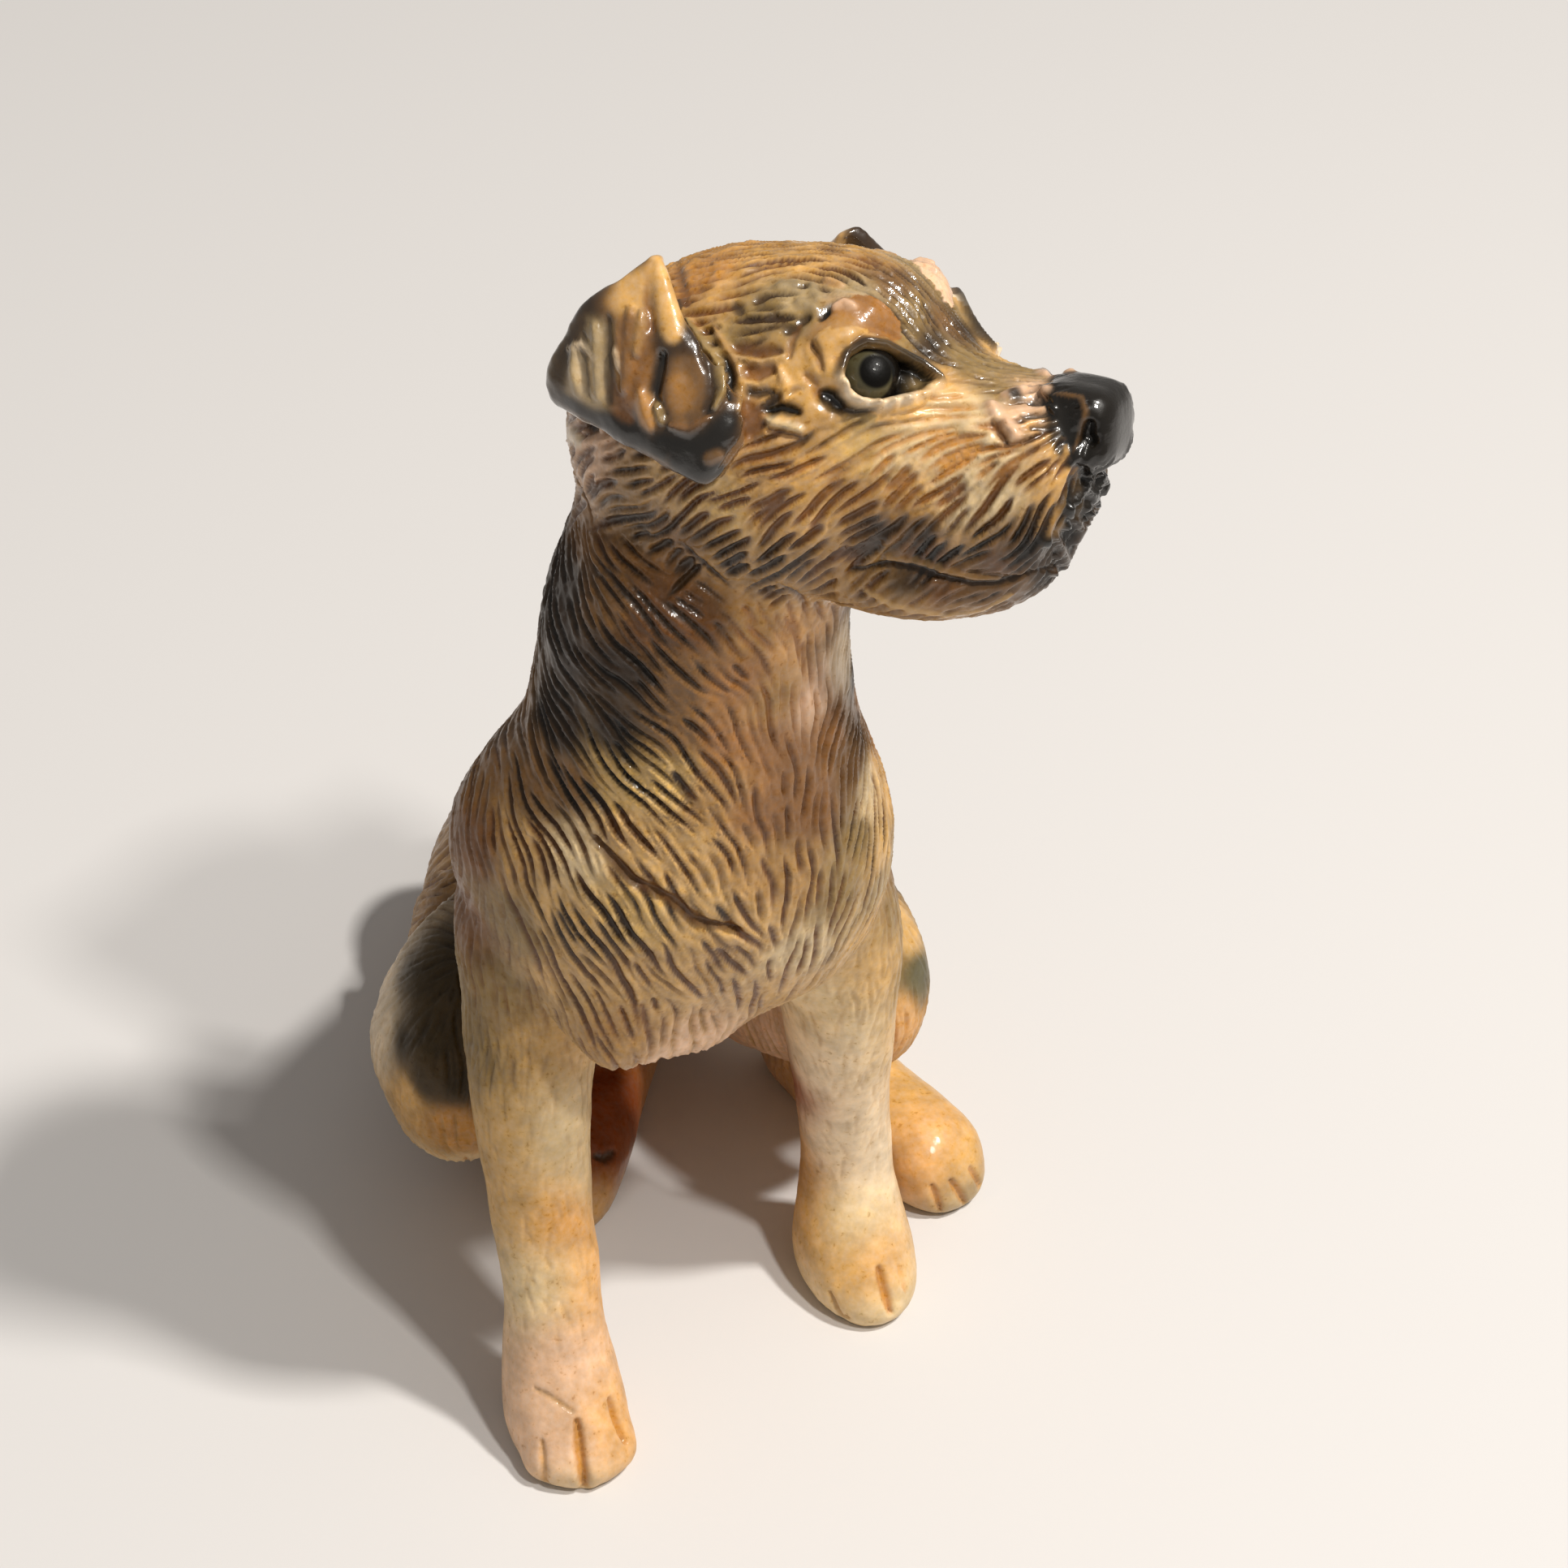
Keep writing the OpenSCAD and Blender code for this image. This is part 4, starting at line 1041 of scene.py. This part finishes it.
# Marks made one by one: pixels along the mark, half width, depth (raised below 0), glaze and its cover
HEAD_MARKS = [
    # mouth and lower jaw
    ([(1050, 704), (1097, 694), (1134, 700), (1154, 710), (1200, 720), (1229, 720), (1269, 706),
     (1325, 694)],
     0.34, 0.55, "dark", 0.9),
    ([(1092, 687), (1130, 692), (1160, 702), (1205, 712), (1230, 712)], 0.35, -0.25, "tan", 0.5),
    ([(1064, 728), (1098, 746), (1137, 755), (1168, 759), (1212, 752), (1246, 733)],
     0.35, -0.12, "buff", 0.7),
    # muzzle: broken coil of pale lumps beside the nose, and the black lip
    ([(1222, 500), (1226, 508)], 0.62, -0.55, "pink", 0.9),
    ([(1240, 488), (1262, 480)], 0.62, -0.5, "pink", 0.9),
    ([(1278, 480), (1290, 480)], 0.55, -0.45, "pink", 0.85),
    ([(1240, 522), (1252, 536)], 0.68, -0.6, "pink", 0.9),
    ([(1222, 520), (1240, 545)], 0.35, 0.5, "brown", 0.9),
    ([(1268, 495), (1294, 494)], 0.32, 0.5, "black", 0.9),
    ([(1260, 512), (1295, 510)], 0.32, 0.5, "black", 0.9),
    ([(1270, 527), (1297, 526)], 0.32, 0.45, "dark", 0.9),
    ([(1335, 578), (1345, 620), (1330, 660)], 0.5, 0.5, "black", 1.0),
    ([(1352, 575), (1362, 610), (1350, 640)], 0.45, 0.4, "black", 1.0),
    ([(1322, 590), (1318, 640), (1300, 680)], 0.4, 0.45, "black", 0.9),
    ([(1290, 462), (1305, 466), (1320, 468)], 1.0, 0.0, "black", 0.95),
    ([(1298, 485), (1300, 520), (1306, 556)], 0.7, 0.0, "black", 0.9),
    ([(1335, 600), (1352, 622), (1358, 640)], 0.5, -0.6, "black", 0.9),
    ([(1325, 640), (1338, 664), (1340, 680)], 0.5, -0.6, "dark", 0.9),
    ([(1300, 660), (1310, 684), (1312, 700)], 0.5, -0.55, "dark", 0.9),
    ([(1350, 575), (1362, 596), (1366, 612)], 0.5, -0.5, "black", 0.9),
    # nose: pale line round the side panel, nostril and the drop below it
    ([(1300, 484), (1331, 489), (1338, 506), (1330, 538), (1323, 554)], 0.22, -0.12, "bark", 0.55),
    ([(1305, 500), (1312, 530), (1318, 548)], 0.8, 0.35, "black", 0.6),
    ([(1343, 524), (1338, 540), (1348, 547)], 0.6, 1.1, "black", 1.0),
    ([(1330, 562), (1318, 570)], 0.6, -0.3, "black", 1.0),
    # eye: lids, pits below and behind, crest of the brow
    ([(1012, 487), (1024, 492), (1036, 504)], 0.75, 1.0, "black", 1.0),
    ([(1040, 507), (1058, 508), (1076, 504)], 0.4, 0.6, "dark", 0.9),
    ([(945, 506), (962, 502), (982, 508)], 0.55, 0.8, "black", 1.0),
    ([(946, 518), (964, 524), (986, 529)], 0.45, -0.4, "cream", 0.7),
    ([(948, 530), (966, 535), (984, 538)], 0.35, 0.35, "brown", 0.7),
    ([(1012, 392), (1020, 380), (1028, 372)], 0.5, 0.6, "black", 0.95),
    ([(1028, 380), (1040, 374), (1052, 379)], 0.5, -0.5, "pink", 0.8),
    ([(1015, 420), (1035, 410), (1050, 415)], 1.5, -0.5, "tan", 0.6),
    ([(905, 430), (930, 436), (958, 434)], 0.8, 0.45, "umber", 0.9),
    ([(905, 440), (938, 447), (972, 438)], 0.35, -0.35, "buff", 0.7),
    ([(917, 457), (936, 461), (950, 456)], 0.75, 0.4, "brown", 0.9),
    ([(913, 471), (936, 476), (952, 465)], 0.32, -0.3, "buff", 0.7),
    ([(915, 481), (934, 485), (952, 483)], 0.4, 0.4, "dark", 0.9),
    ([(920, 500), (928, 520), (925, 536)], 0.9, 0.3, "brown", 0.8),
    ([(932, 370), (940, 366)], 0.5, 0.5, "dark", 0.9),
    ([(948, 391), (954, 387)], 0.45, 0.45, "dark", 0.9),
    ([(970, 407), (978, 404)], 0.5, 0.5, "dark", 0.9),
    ([(985, 397), (994, 391)], 0.45, 0.5, "dark", 0.9),
    ([(905, 375), (912, 385)], 0.45, 0.35, "dark", 0.8),
    ([(960, 352), (985, 350)], 0.5, -0.3, "grey", 0.7),
    ([(1000, 352), (1008, 368)], 0.5, -0.35, "grey", 0.7),
    ([(985, 372), (1004, 380)], 0.5, -0.35, "grey", 0.7),
    ([(1018, 345), (1036, 352)], 0.5, -0.3, "peach", 0.6),
    ([(1000, 425), (1008, 440), (1012, 455)], 0.35, 0.3, "brown", 0.7),
    ([(985, 400), (975, 420), (972, 440)], 0.35, 0.3, "brown", 0.7),
    ([(1050, 425), (1062, 418), (1080, 416)], 0.35, 0.3, "brown", 0.7),
    ([(992, 462), (1004, 474), (1006, 488)], 0.4, 0.3, "hazel", 0.7),
    ([(960, 455), (968, 475), (966, 492)], 0.45, -0.35, "amber", 0.5),
]
BODY_MARKS = [
    # creases of the chest and the paws
    ([(732, 1034), (777, 1085), (828, 1111), (858, 1137), (910, 1148)], 0.6, 0.9, "umber", 0.9),
    ([(667, 1776), (671, 1838)], 0.35, 0.35, "peach", 0.8),
    ([(711, 1752), (716, 1800), (722, 1846)], 0.5, 0.8, "orange", 1.0),
    ([(752, 1725), (760, 1750), (771, 1776)], 0.42, 0.65, "orange", 1.0),
    ([(659, 1711), (680, 1722), (706, 1740)], 0.28, 0.22, "tan", 0.6),
    ([(1083, 1563), (1090, 1590), (1098, 1618)], 0.45, 0.7, "orange", 1.0),
    ([(1022, 1593), (1030, 1612), (1041, 1630)], 0.35, 0.4, "tan", 0.8),
    ([(1108, 1560), (1116, 1590)], 0.3, 0.3, "peach", 0.8),
    ([(1148, 1462), (1154, 1478), (1158, 1492)], 0.35, 0.5, "orange", 0.9),
    ([(1172, 1456), (1182, 1470), (1190, 1484)], 0.4, 0.6, "orange", 0.9),
    ([(1196, 1440), (1204, 1452), (1210, 1464)], 0.35, 0.5, "orange", 0.9),
    # right hind foot, between the forelegs
    ([(735, 1424), (745, 1427), (757, 1420)], 0.5, 0.5, "dark", 0.9),
    ([(796, 1415), (781, 1445), (764, 1478), (752, 1500)], 0.6, 0.0, "tan", 0.85),
]
EAR_MARKS = [
    # near ear: fold from the apex, hollows beside it, panel, double rim and dark tip
    ([(690, 470), (720, 440), (735, 470), (730, 490)], 2.2, 0.0, "grey", 0.95),
    ([(720, 410), (745, 420), (755, 450)], 1.4, 0.0, "grey", 0.8),
    ([(708, 445), (718, 455), (720, 482)], 1.5, 0.0, "pale", 0.3),
    ([(772, 345), (785, 355), (770, 375)], 1.6, 0.0, "amber", 0.9),
    ([(775, 400), (780, 440), (775, 490)], 1.6, 0.0, "hazel", 0.9),
    ([(805, 325), (804, 345), (800, 368), (802, 405)], 0.6, 0.5, "brown", 0.9),
    ([(812, 314), (819, 355), (827, 395), (829, 412)], 1.15, -0.3, "amber", 1.0),
    ([(791, 385), (788, 410), (784, 435)], 0.5, -0.4, "tan", 0.7),
    ([(833, 322), (840, 350), (846, 375)], 0.45, 0.3, "brown", 0.8),
    ([(815, 437), (810, 460), (803, 490), (816, 512)], 0.6, 0.8, "black", 1.0),
    ([(842, 455), (842, 485), (840, 512)], 1.7, 0.35, "bark", 0.95),
    ([(838, 470), (840, 500)], 1.0, 0.1, "orange", 0.55),
    ([(868, 430), (880, 460), (880, 490), (870, 505)], 0.75, 0.4, "dark", 0.95),
    ([(847, 395), (867, 425), (886, 450), (890, 480), (880, 502)], 0.4, -0.5, "olive", 0.95),
    ([(896, 440), (902, 465), (901, 490)], 0.45, 0.45, "black", 1.0),
    ([(880, 405), (893, 425), (909, 452), (914, 480), (909, 505)], 0.4, -0.3, "tan", 0.7),
    ([(827, 525), (850, 531), (872, 516)], 0.4, -0.45, "red", 0.9),
    ([(790, 485), (794, 505), (802, 525)], 0.7, -0.35, "orange", 0.85),
    ([(808, 500), (815, 520)], 0.4, -0.3, "olive", 0.8),
    ([(815, 545), (845, 555), (880, 545), (895, 520)], 1.7, 0.0, "black", 1.0),
    ([(835, 570), (860, 580), (885, 580)], 1.3, 0.0, "black", 1.0),
    ([(872, 566), (886, 560)], 0.5, -0.2, "bark", 0.7),
    ([(690, 490), (730, 515), (775, 532), (815, 560)], 0.9, 0.0, "black", 0.95),
    ([(686, 505), (684, 480), (692, 440), (716, 400)], 1.0, 0.0, "dark", 0.95),
    ([(755, 475), (762, 500), (775, 515)], 0.8, 0.25, "brown", 0.8),
    ([(708, 425), (706, 455), (712, 485)], 0.4, -0.35, "grey", 0.6),
    ([(719, 412), (720, 450), (724, 488)], 0.35, 0.3, "dark", 0.6),
    ([(733, 400), (735, 440), (737, 490)], 0.45, -0.4, "grey", 0.5),
    ([(749, 392), (751, 440), (750, 495)], 0.45, 0.35, "dark", 0.75),
    ([(776, 380), (774, 430), (768, 480)], 0.5, -0.35, "bark", 0.6),
    # raised ridges on the grey patch; their pale colour is painted highlight, standing for the glints along
    # them
    ([(700, 430), (716, 425), (733, 440)], 0.3, -0.25, "pale", 0.6),
    ([(757, 430), (762, 455)], 0.3, -0.3, "pale", 0.6),
    ([(682, 515), (700, 535), (715, 545)], 0.7, -0.1, "pale", 0.9),
    ([(722, 522), (732, 528)], 0.6, 0.8, "black", 1.0),
    ([(735, 540), (752, 550)], 1.0, 0.0, "pink", 0.8),
]
# Pixels between the casts along a mark, and the glazes that shine most
CAST_STEP = 3
GLOSSY = ("black", "grey", "dark")


def line_on_skin(pixels):
    """Places and normals along a mark, close together."""
    out = []
    for (x0, y0), (x1, y1) in zip(pixels, pixels[1:]):
        n = max(2, int(math.hypot(x1 - x0, y1 - y0) / CAST_STEP))
        out += [cast(x0 + (x1 - x0) * i / n, y0 + (y1 - y0) * i / n) for i in range(n)]
    out.append(cast(*pixels[-1]))
    middle = np.median(np.array([p for p, _ in out]), axis=0)
    span = 2.0 + 1.2 * math.dist(pixels[0], pixels[-1]) / PX
    return [(p, n) for p, n in out if np.linalg.norm(p - middle) < span]


def ease(n):
    """Widths along a mark, narrower at both ends."""
    return np.array([0.55 + 0.45 * min(1.0, 4 * min(i + 0.5, n - i - 0.5) / n) for i in range(n)])


def set_mark(line, width, depth, glaze, cover, piece=None):
    """Cuts or raises the skin along a line and lays glaze on it; on one piece only where it is named."""
    places, facing = (np.array(rows) for rows in zip(*line))
    size = width * ease(len(line))
    pull, tint = np.zeros((2, len(co)))
    for v, s, r in grid.pairs(places, width * REACH):
        t = r / size[s]
        good = (normals[v] * facing[s]).sum(1) > 0.0
        if piece:
            good &= part_name[v] == piece
        v, t = v[good], t[good]
        np.maximum.at(pull, v, np.exp(-t * t))
        np.maximum.at(tint, v, np.exp(-((t / 1.15) ** 4)))
    levelled = lift * (1 - pull)
    if depth < 0:
        lift[:] = np.where(pull > 0.05, np.maximum(levelled - depth * pull, levelled), lift)
    elif depth > 0:
        lift[:] = np.minimum(lift, levelled - depth * pull)
    colour[:] = mixed(colour, GLAZE[glaze], (cover * tint)[:, None])
    wet[:] = np.maximum(wet, tint * (DARK_WET if glaze in GLOSSY else MARK_WET))


# The ears are bare clay with blots of dark glaze below their marks
EAR_LUMP_SIZE = 2.6
EAR_LUMP_HEIGHT = 0.2
BLOT_SIZE = 5.0
ears = np.isin(part_name, EARS)
lift[ears] += EAR_LUMP_HEIGHT * noise_over(co[ears], EAR_LUMP_SIZE)
blot = smooth(0.5 + 1.6 * noise_over(co[ears], BLOT_SIZE))[:, None]
colour[ears] = mixed(GLAZE["bark"], GLAZE["dark"], blot)
wet[ears] = 1.0
for part, marks in (("head", HEAD_MARKS), ("body", BODY_MARKS), ("ear", EAR_MARKS)):
    for pixels, *style in marks:
        line = line_on_skin(pixels)
        set_mark(line, *style)
        if part != "body":
            set_mark([snap(head_mirror(p)) for p, _ in line], *style, "left_ear" if part == "ear" else None)


# Eye sockets: the almond between the lids is cut back round the eyeball
ALMOND = [
    (1041, 460), (1048, 440), (1066, 429), (1092, 431), (1112, 441), (1134, 453), (1152, 467),
    (1136, 480), (1108, 486), (1086, 491), (1062, 489), (1048, 478),
]
BACK_CORNER, UPPER_LID, FRONT_CORNER = 0, 2, 6
SOCKET_REACH = 8.5
LID_OUT = 0.5
LID_WIDTH = 0.42
LID_HEIGHT = 0.85
BEADS = 13
SOCKET_DEPTH = 1.7


def inside_by(points, polygon):
    """Distance inside a flat polygon, negative outside."""
    odd = np.zeros(len(points), bool)
    best = np.full(len(points), np.inf)
    for a, b in zip(polygon, np.roll(polygon, -1, axis=0)):
        ab = b - a
        t = np.clip(((points - a) @ ab) / (ab @ ab), 0, 1)
        best = np.minimum(best, lengths(points - a - t[:, None] * ab))
        crosses = (a[1] > points[:, 1]) != (b[1] > points[:, 1])
        level = a[0] + (points[:, 1] - a[1]) / (ab[1] if ab[1] else TINY) * ab[0]
        odd ^= crosses & (points[:, 0] < level)
    return np.where(odd, best, -best)


def cut_socket(rim):
    """Lids raised round the almond, the almond cut back, and their glazes; the black along the upper lid is
    partly its glaze and partly painted shade from the lid over the eye.
    """
    rim_points, rim_normals = (np.array(rows) for rows in zip(*rim))
    out = unit(rim_normals.mean(0))
    middle = rim_points.mean(0)
    along = rim_points[FRONT_CORNER] - rim_points[BACK_CORNER]
    along = unit(along - (along @ out) * out)
    up = rim_points[UPPER_LID] - middle
    up = unit(up - ((up @ out) * out + (up @ along) * along))
    axes = np.stack([along, up], 1)
    close = np.flatnonzero((lengths(co - middle) < SOCKET_REACH) & (normals @ out > -0.2))
    u, w = ((co[close] - middle) @ axes).T
    inside = inside_by(np.stack([u, w], 1), (rim_points - middle) @ axes)
    below = smooth((0.5 - w) / 1.2)
    corner = smooth((u - 1.6) / 1.2)
    beads = 1 + 0.4 * below * np.sin(BEADS * np.arctan2(w, u) + 0.7)
    lid = np.exp(-(((inside + LID_OUT) / LID_WIDTH) ** 2)) * (LID_HEIGHT - 0.35 * corner * below) * beads
    cut = smooth((inside + 0.12) / 0.55)
    lift[close] *= 1 - np.maximum(cut, smooth((inside + 1.1) / 0.4))
    shift[close] += (lid * (1 - cut) - (SOCKET_DEPTH - 0.7 * corner) * cut)[:, None] * out
    rimmed = np.exp(-(((inside + LID_OUT) / 0.5) ** 4))
    for glaze, cover in (
        ("pale", 0.9 * rimmed * below * (1 - 0.6 * corner)),
        # upper lid: black glaze, and painted shade where the lid overhangs the eye
        ("black", 0.9 * rimmed * (1 - below)),
        ("black", smooth((inside + 0.12) / 0.25)),
        ("olive", 0.6 * smooth(inside / 0.4) * corner * below),
    ):
        colour[close] = mixed(colour[close], GLAZE[glaze], cover[:, None])
    wet[close] = np.maximum(wet[close], np.maximum(cut, rimmed))


shift = np.zeros_like(co)
rim = [cast(x, y) for x, y in ALMOND]
cut_socket(rim)
cut_socket([snap(head_mirror(p)) for p, _ in rim])
co = co + lift[:, None] * normals + shift
co[:, 2] = np.maximum(co[:, 2], 0.0)

# Material: sizes of its noises, tint of the specks, and what follows the gloss (from, from, to, to)
PATCHES = 420.0, 3.0
SPECKS = 1500.0, 2.0
UNEVEN = 900.0, 4.0
SPECK_TINT = (0.42, 0.3, 0.2, 1)
GLOSS = {
    "Roughness": (0.0, 1.0, 0.55, 0.3),
    "Coat Weight": (0.45, 1.0, 0.05, 1.0),
    "Specular IOR Level": (0.45, 1.0, 0.12, 0.4),
}


def glaze_material(name):
    """Fired glaze: the brushed colours broken by mottling and specks, glossy and finely uneven."""
    mat = bpy.data.materials.new(name)
    mat.use_nodes = True
    tree = mat.node_tree
    shader = tree.nodes["Principled BSDF"]
    link = tree.links.new

    def node(kind, **values):
        made = tree.nodes.new(kind)
        for k, v in values.items():
            setattr(made, k, v)
        return made

    def preset(made, **values):
        for k, v in values.items():
            made.inputs[k.replace("_", " ")].default_value = v
        return made

    def noise_at(scale, detail):
        made = preset(node("ShaderNodeTexNoise"), Scale=scale, Detail=detail, Roughness=0.6)
        link(place.outputs["Object"], made.inputs["Vector"])
        return made.outputs["Fac"]

    def mapped(source, a, b, c, d):
        made = preset(node("ShaderNodeMapRange"), From_Min=a, From_Max=b, To_Min=c, To_Max=d)
        link(source, made.inputs["Value"])
        return made.outputs["Result"]

    place = node("ShaderNodeTexCoord")
    tint = node("ShaderNodeAttribute", attribute_name="glaze")
    gloss = node("ShaderNodeAttribute", attribute_name="wet")
    speck = noise_at(*SPECKS)
    wash = node("ShaderNodeHueSaturation")
    link(tint.outputs["Vector"], wash.inputs["Color"])
    link(mapped(noise_at(*PATCHES), 0.3, 0.7, 0.8, 1.18), wash.inputs["Value"])
    link(mapped(speck, 0.3, 0.7, 0.92, 1.1), wash.inputs["Saturation"])
    dots = node("ShaderNodeMix", data_type="RGBA", blend_type="MULTIPLY")
    link(mapped(speck, 0.64, 0.76, 0.0, 0.5), dots.inputs["Factor"])
    link(wash.outputs["Color"], dots.inputs["A"])
    dots.inputs["B"].default_value = SPECK_TINT
    link(dots.outputs["Result"], shader.inputs["Base Color"])
    for socket, ends in GLOSS.items():
        link(mapped(gloss.outputs["Fac"], *ends), shader.inputs[socket])
    preset(shader, Coat_Roughness=0.05, Coat_IOR=1.5)
    bump = preset(node("ShaderNodeBump"), Strength=0.25, Distance=0.0002)
    link(noise_at(*UNEVEN), bump.inputs["Height"])
    link(bump.outputs["Normal"], shader.inputs["Normal"])
    link(bump.outputs["Normal"], shader.inputs["Coat Normal"])
    return mat


mats = {s: glaze_material(s) for s in sorted(set(SLOTS.values()))}

# Pieces, with a skirt inside the body along their open rims
SKIRT = 0.6


def finished(node, made, rgb, gloss):
    """One piece: its glaze and gloss, its place in the scene and what it stands for."""
    stored(made, "glaze", "FLOAT_VECTOR", rgb)
    stored(made, "wet", "FLOAT", gloss)
    made.polygons.foreach_set("use_smooth", [True] * len(made.polygons))
    obj = linked(made.name, made)
    made.materials.append(mats[SLOTS[node]])
    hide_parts(node)
    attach(obj, "root")


def rims(faces):
    """Closed loops of points along the open edges of some faces."""
    e = sides_of(faces)
    size = int(faces.max()) + 1
    step = {}
    for a, b in e[~np.isin(e[:, 0] * size + e[:, 1], e[:, 1] * size + e[:, 0])].tolist():
        step.setdefault(a, []).append(b)
    while step:
        start = next(iter(step))
        loop, here = [start], start
        while True:
            there = step[here].pop()
            if not step[here]:
                del step[here]
            if there == start or there not in step:
                break
            loop.append(there)
            here = there
        if len(loop) > 2:
            yield loop


def skin_piece(node, faces):
    """One piece of the skin as its own object."""
    used, local = np.unique(quads[faces], return_inverse=True)
    local = local.reshape(-1, 4)
    polys = local.tolist()
    hem = []
    for loop in rims(local):
        first = len(used) + len(hem)
        hem += loop
        for k, (a, b) in enumerate(zip(loop, loop[1:] + loop[:1])):
            polys.append([b, a, first + k, first + (k + 1) % len(loop)])
    below = used[hem].astype(int)
    ids = np.concatenate([used, below]).astype(int)
    made = bpy.data.meshes.new("glazed_" + node)
    points = np.concatenate([co[used], co[below] - SKIRT * final_normals[below]])
    made.from_pydata((points * MM).tolist(), [], polys)
    finished(node, made, colour[ids], wet[ids])
    made.normals_split_custom_set_from_vertices(final_normals[ids].tolist())


final_normals = normals_of(co, quads)
for i, name in enumerate(SKIN):
    skin_piece(name, np.flatnonzero(part_of_face == i))

# Eyeballs: a dark ball with a grey-green iris and a black, slightly sunk pupil; angles are degrees
IRIS = 50
IRIS_FADE = 7
PUPIL = 35
PUPIL_FADE = 8
PUPIL_SUNK = 0.015
PUPIL_ASIDE = 0.75
PUPIL_UP = 0.5
PUPIL_AHEAD = 2.6


def cap(points, way, radius, angle, fade):
    """1 round the point of a ball that faces the way, 0 beyond the angle."""
    return smooth((angle - np.degrees(np.arccos(np.clip(points @ way / radius, -1, 1)))) / fade)


spot = eyes["right"][0] + PUPIL_ASIDE * RIGHT + PUPIL_UP * TOP
for which, (centre, radius) in eyes.items():
    seen, aimed = (EYE, spot) if which == "right" else (head_mirror(EYE), head_mirror(spot))
    gaze = unit(seen - centre)
    aim = unit(aimed - centre + PUPIL_AHEAD * gaze)
    made = bpy.data.meshes.new("glazed_" + which + "_eyeball")
    bm = bmesh.new()
    bmesh.ops.create_icosphere(bm, subdivisions=6, radius=radius)
    bm.to_mesh(made)
    bm.free()
    p = points_of(made)
    iris = cap(p, gaze, radius, IRIS, IRIS_FADE)[:, None]
    pupil = cap(p, aim, radius, PUPIL, PUPIL_FADE)[:, None]
    made.vertices.foreach_set("co", ((p * (1 - PUPIL_SUNK * pupil) + centre) * MM).ravel())
    rgb = mixed(0.2 * GLAZE["black"] + 0.55 * iris * GLAZE["green"], 0.3 * GLAZE["black"], pupil)
    finished(which + "_eyeball", made, rgb, 0.7 - 0.22 * pupil)

# Floor, light and camera, in metres
FLOOR_HALF = 3
FLOOR_TONE = (0.71, 0.695, 0.69, 1)
FLOOR_ROUGHNESS = 0.7
LAMP_SIZE = 0.07
LAMP_TONE = (1.0, 0.96, 0.9)
LAMPS = {"key": ((0.36, -0.24, 0.86), 6.6), "second": ((0.2, -0.5, 0.9), 4.0)}
LIT = Vector((0, -0.03, 0.06))
WORLD_TONE = (1.0, 0.96, 0.91, 1)
WORLD_STRENGTH = 0.26
SENSOR = 36.0

floor = bpy.data.meshes.new("floor")
floor_corners = [(x * FLOOR_HALF, y * FLOOR_HALF, 0) for x, y in ((-1, -1), (1, -1), (1, 1), (-1, 1))]
floor.from_pydata(floor_corners, [], [(0, 1, 2, 3)])
floor_obj = linked("floor", floor)
paint = bpy.data.materials.new("floor")
paint.use_nodes = True
paint_shader = paint.node_tree.nodes["Principled BSDF"]
paint_shader.inputs["Base Color"].default_value = FLOOR_TONE
paint_shader.inputs["Roughness"].default_value = FLOOR_ROUGHNESS
floor.materials.append(paint)

for name, (place, power) in LAMPS.items():
    lamp = bpy.data.lights.new(name, "AREA")
    lamp.size = LAMP_SIZE
    lamp.energy = power
    lamp.color = LAMP_TONE
    lamp_obj = linked(name, lamp)
    lamp_obj.location = place
    lamp_obj.rotation_euler = (LIT - Vector(place)).to_track_quat("-Z", "Y").to_euler()

world = bpy.data.worlds.new("studio")
bpy.context.scene.world = world
world.use_nodes = True
world.node_tree.nodes["Background"].inputs["Color"].default_value = WORLD_TONE
world.node_tree.nodes["Background"].inputs["Strength"].default_value = WORLD_STRENGTH
bpy.context.scene.view_settings.view_transform = "Standard"

cam = bpy.data.cameras.new("camera")
cam.sensor_width = SENSOR
cam.lens = FOCAL / SIZE * SENSOR
cam.clip_start = 0.01
cam.clip_end = 20
cam_obj = linked("camera", cam)
cam_obj.matrix_world = Matrix.Translation(EYE * MM) @ Matrix((RIGHT, TOP, -LOOK)).transposed().to_4x4()
bpy.context.scene.camera = cam_obj
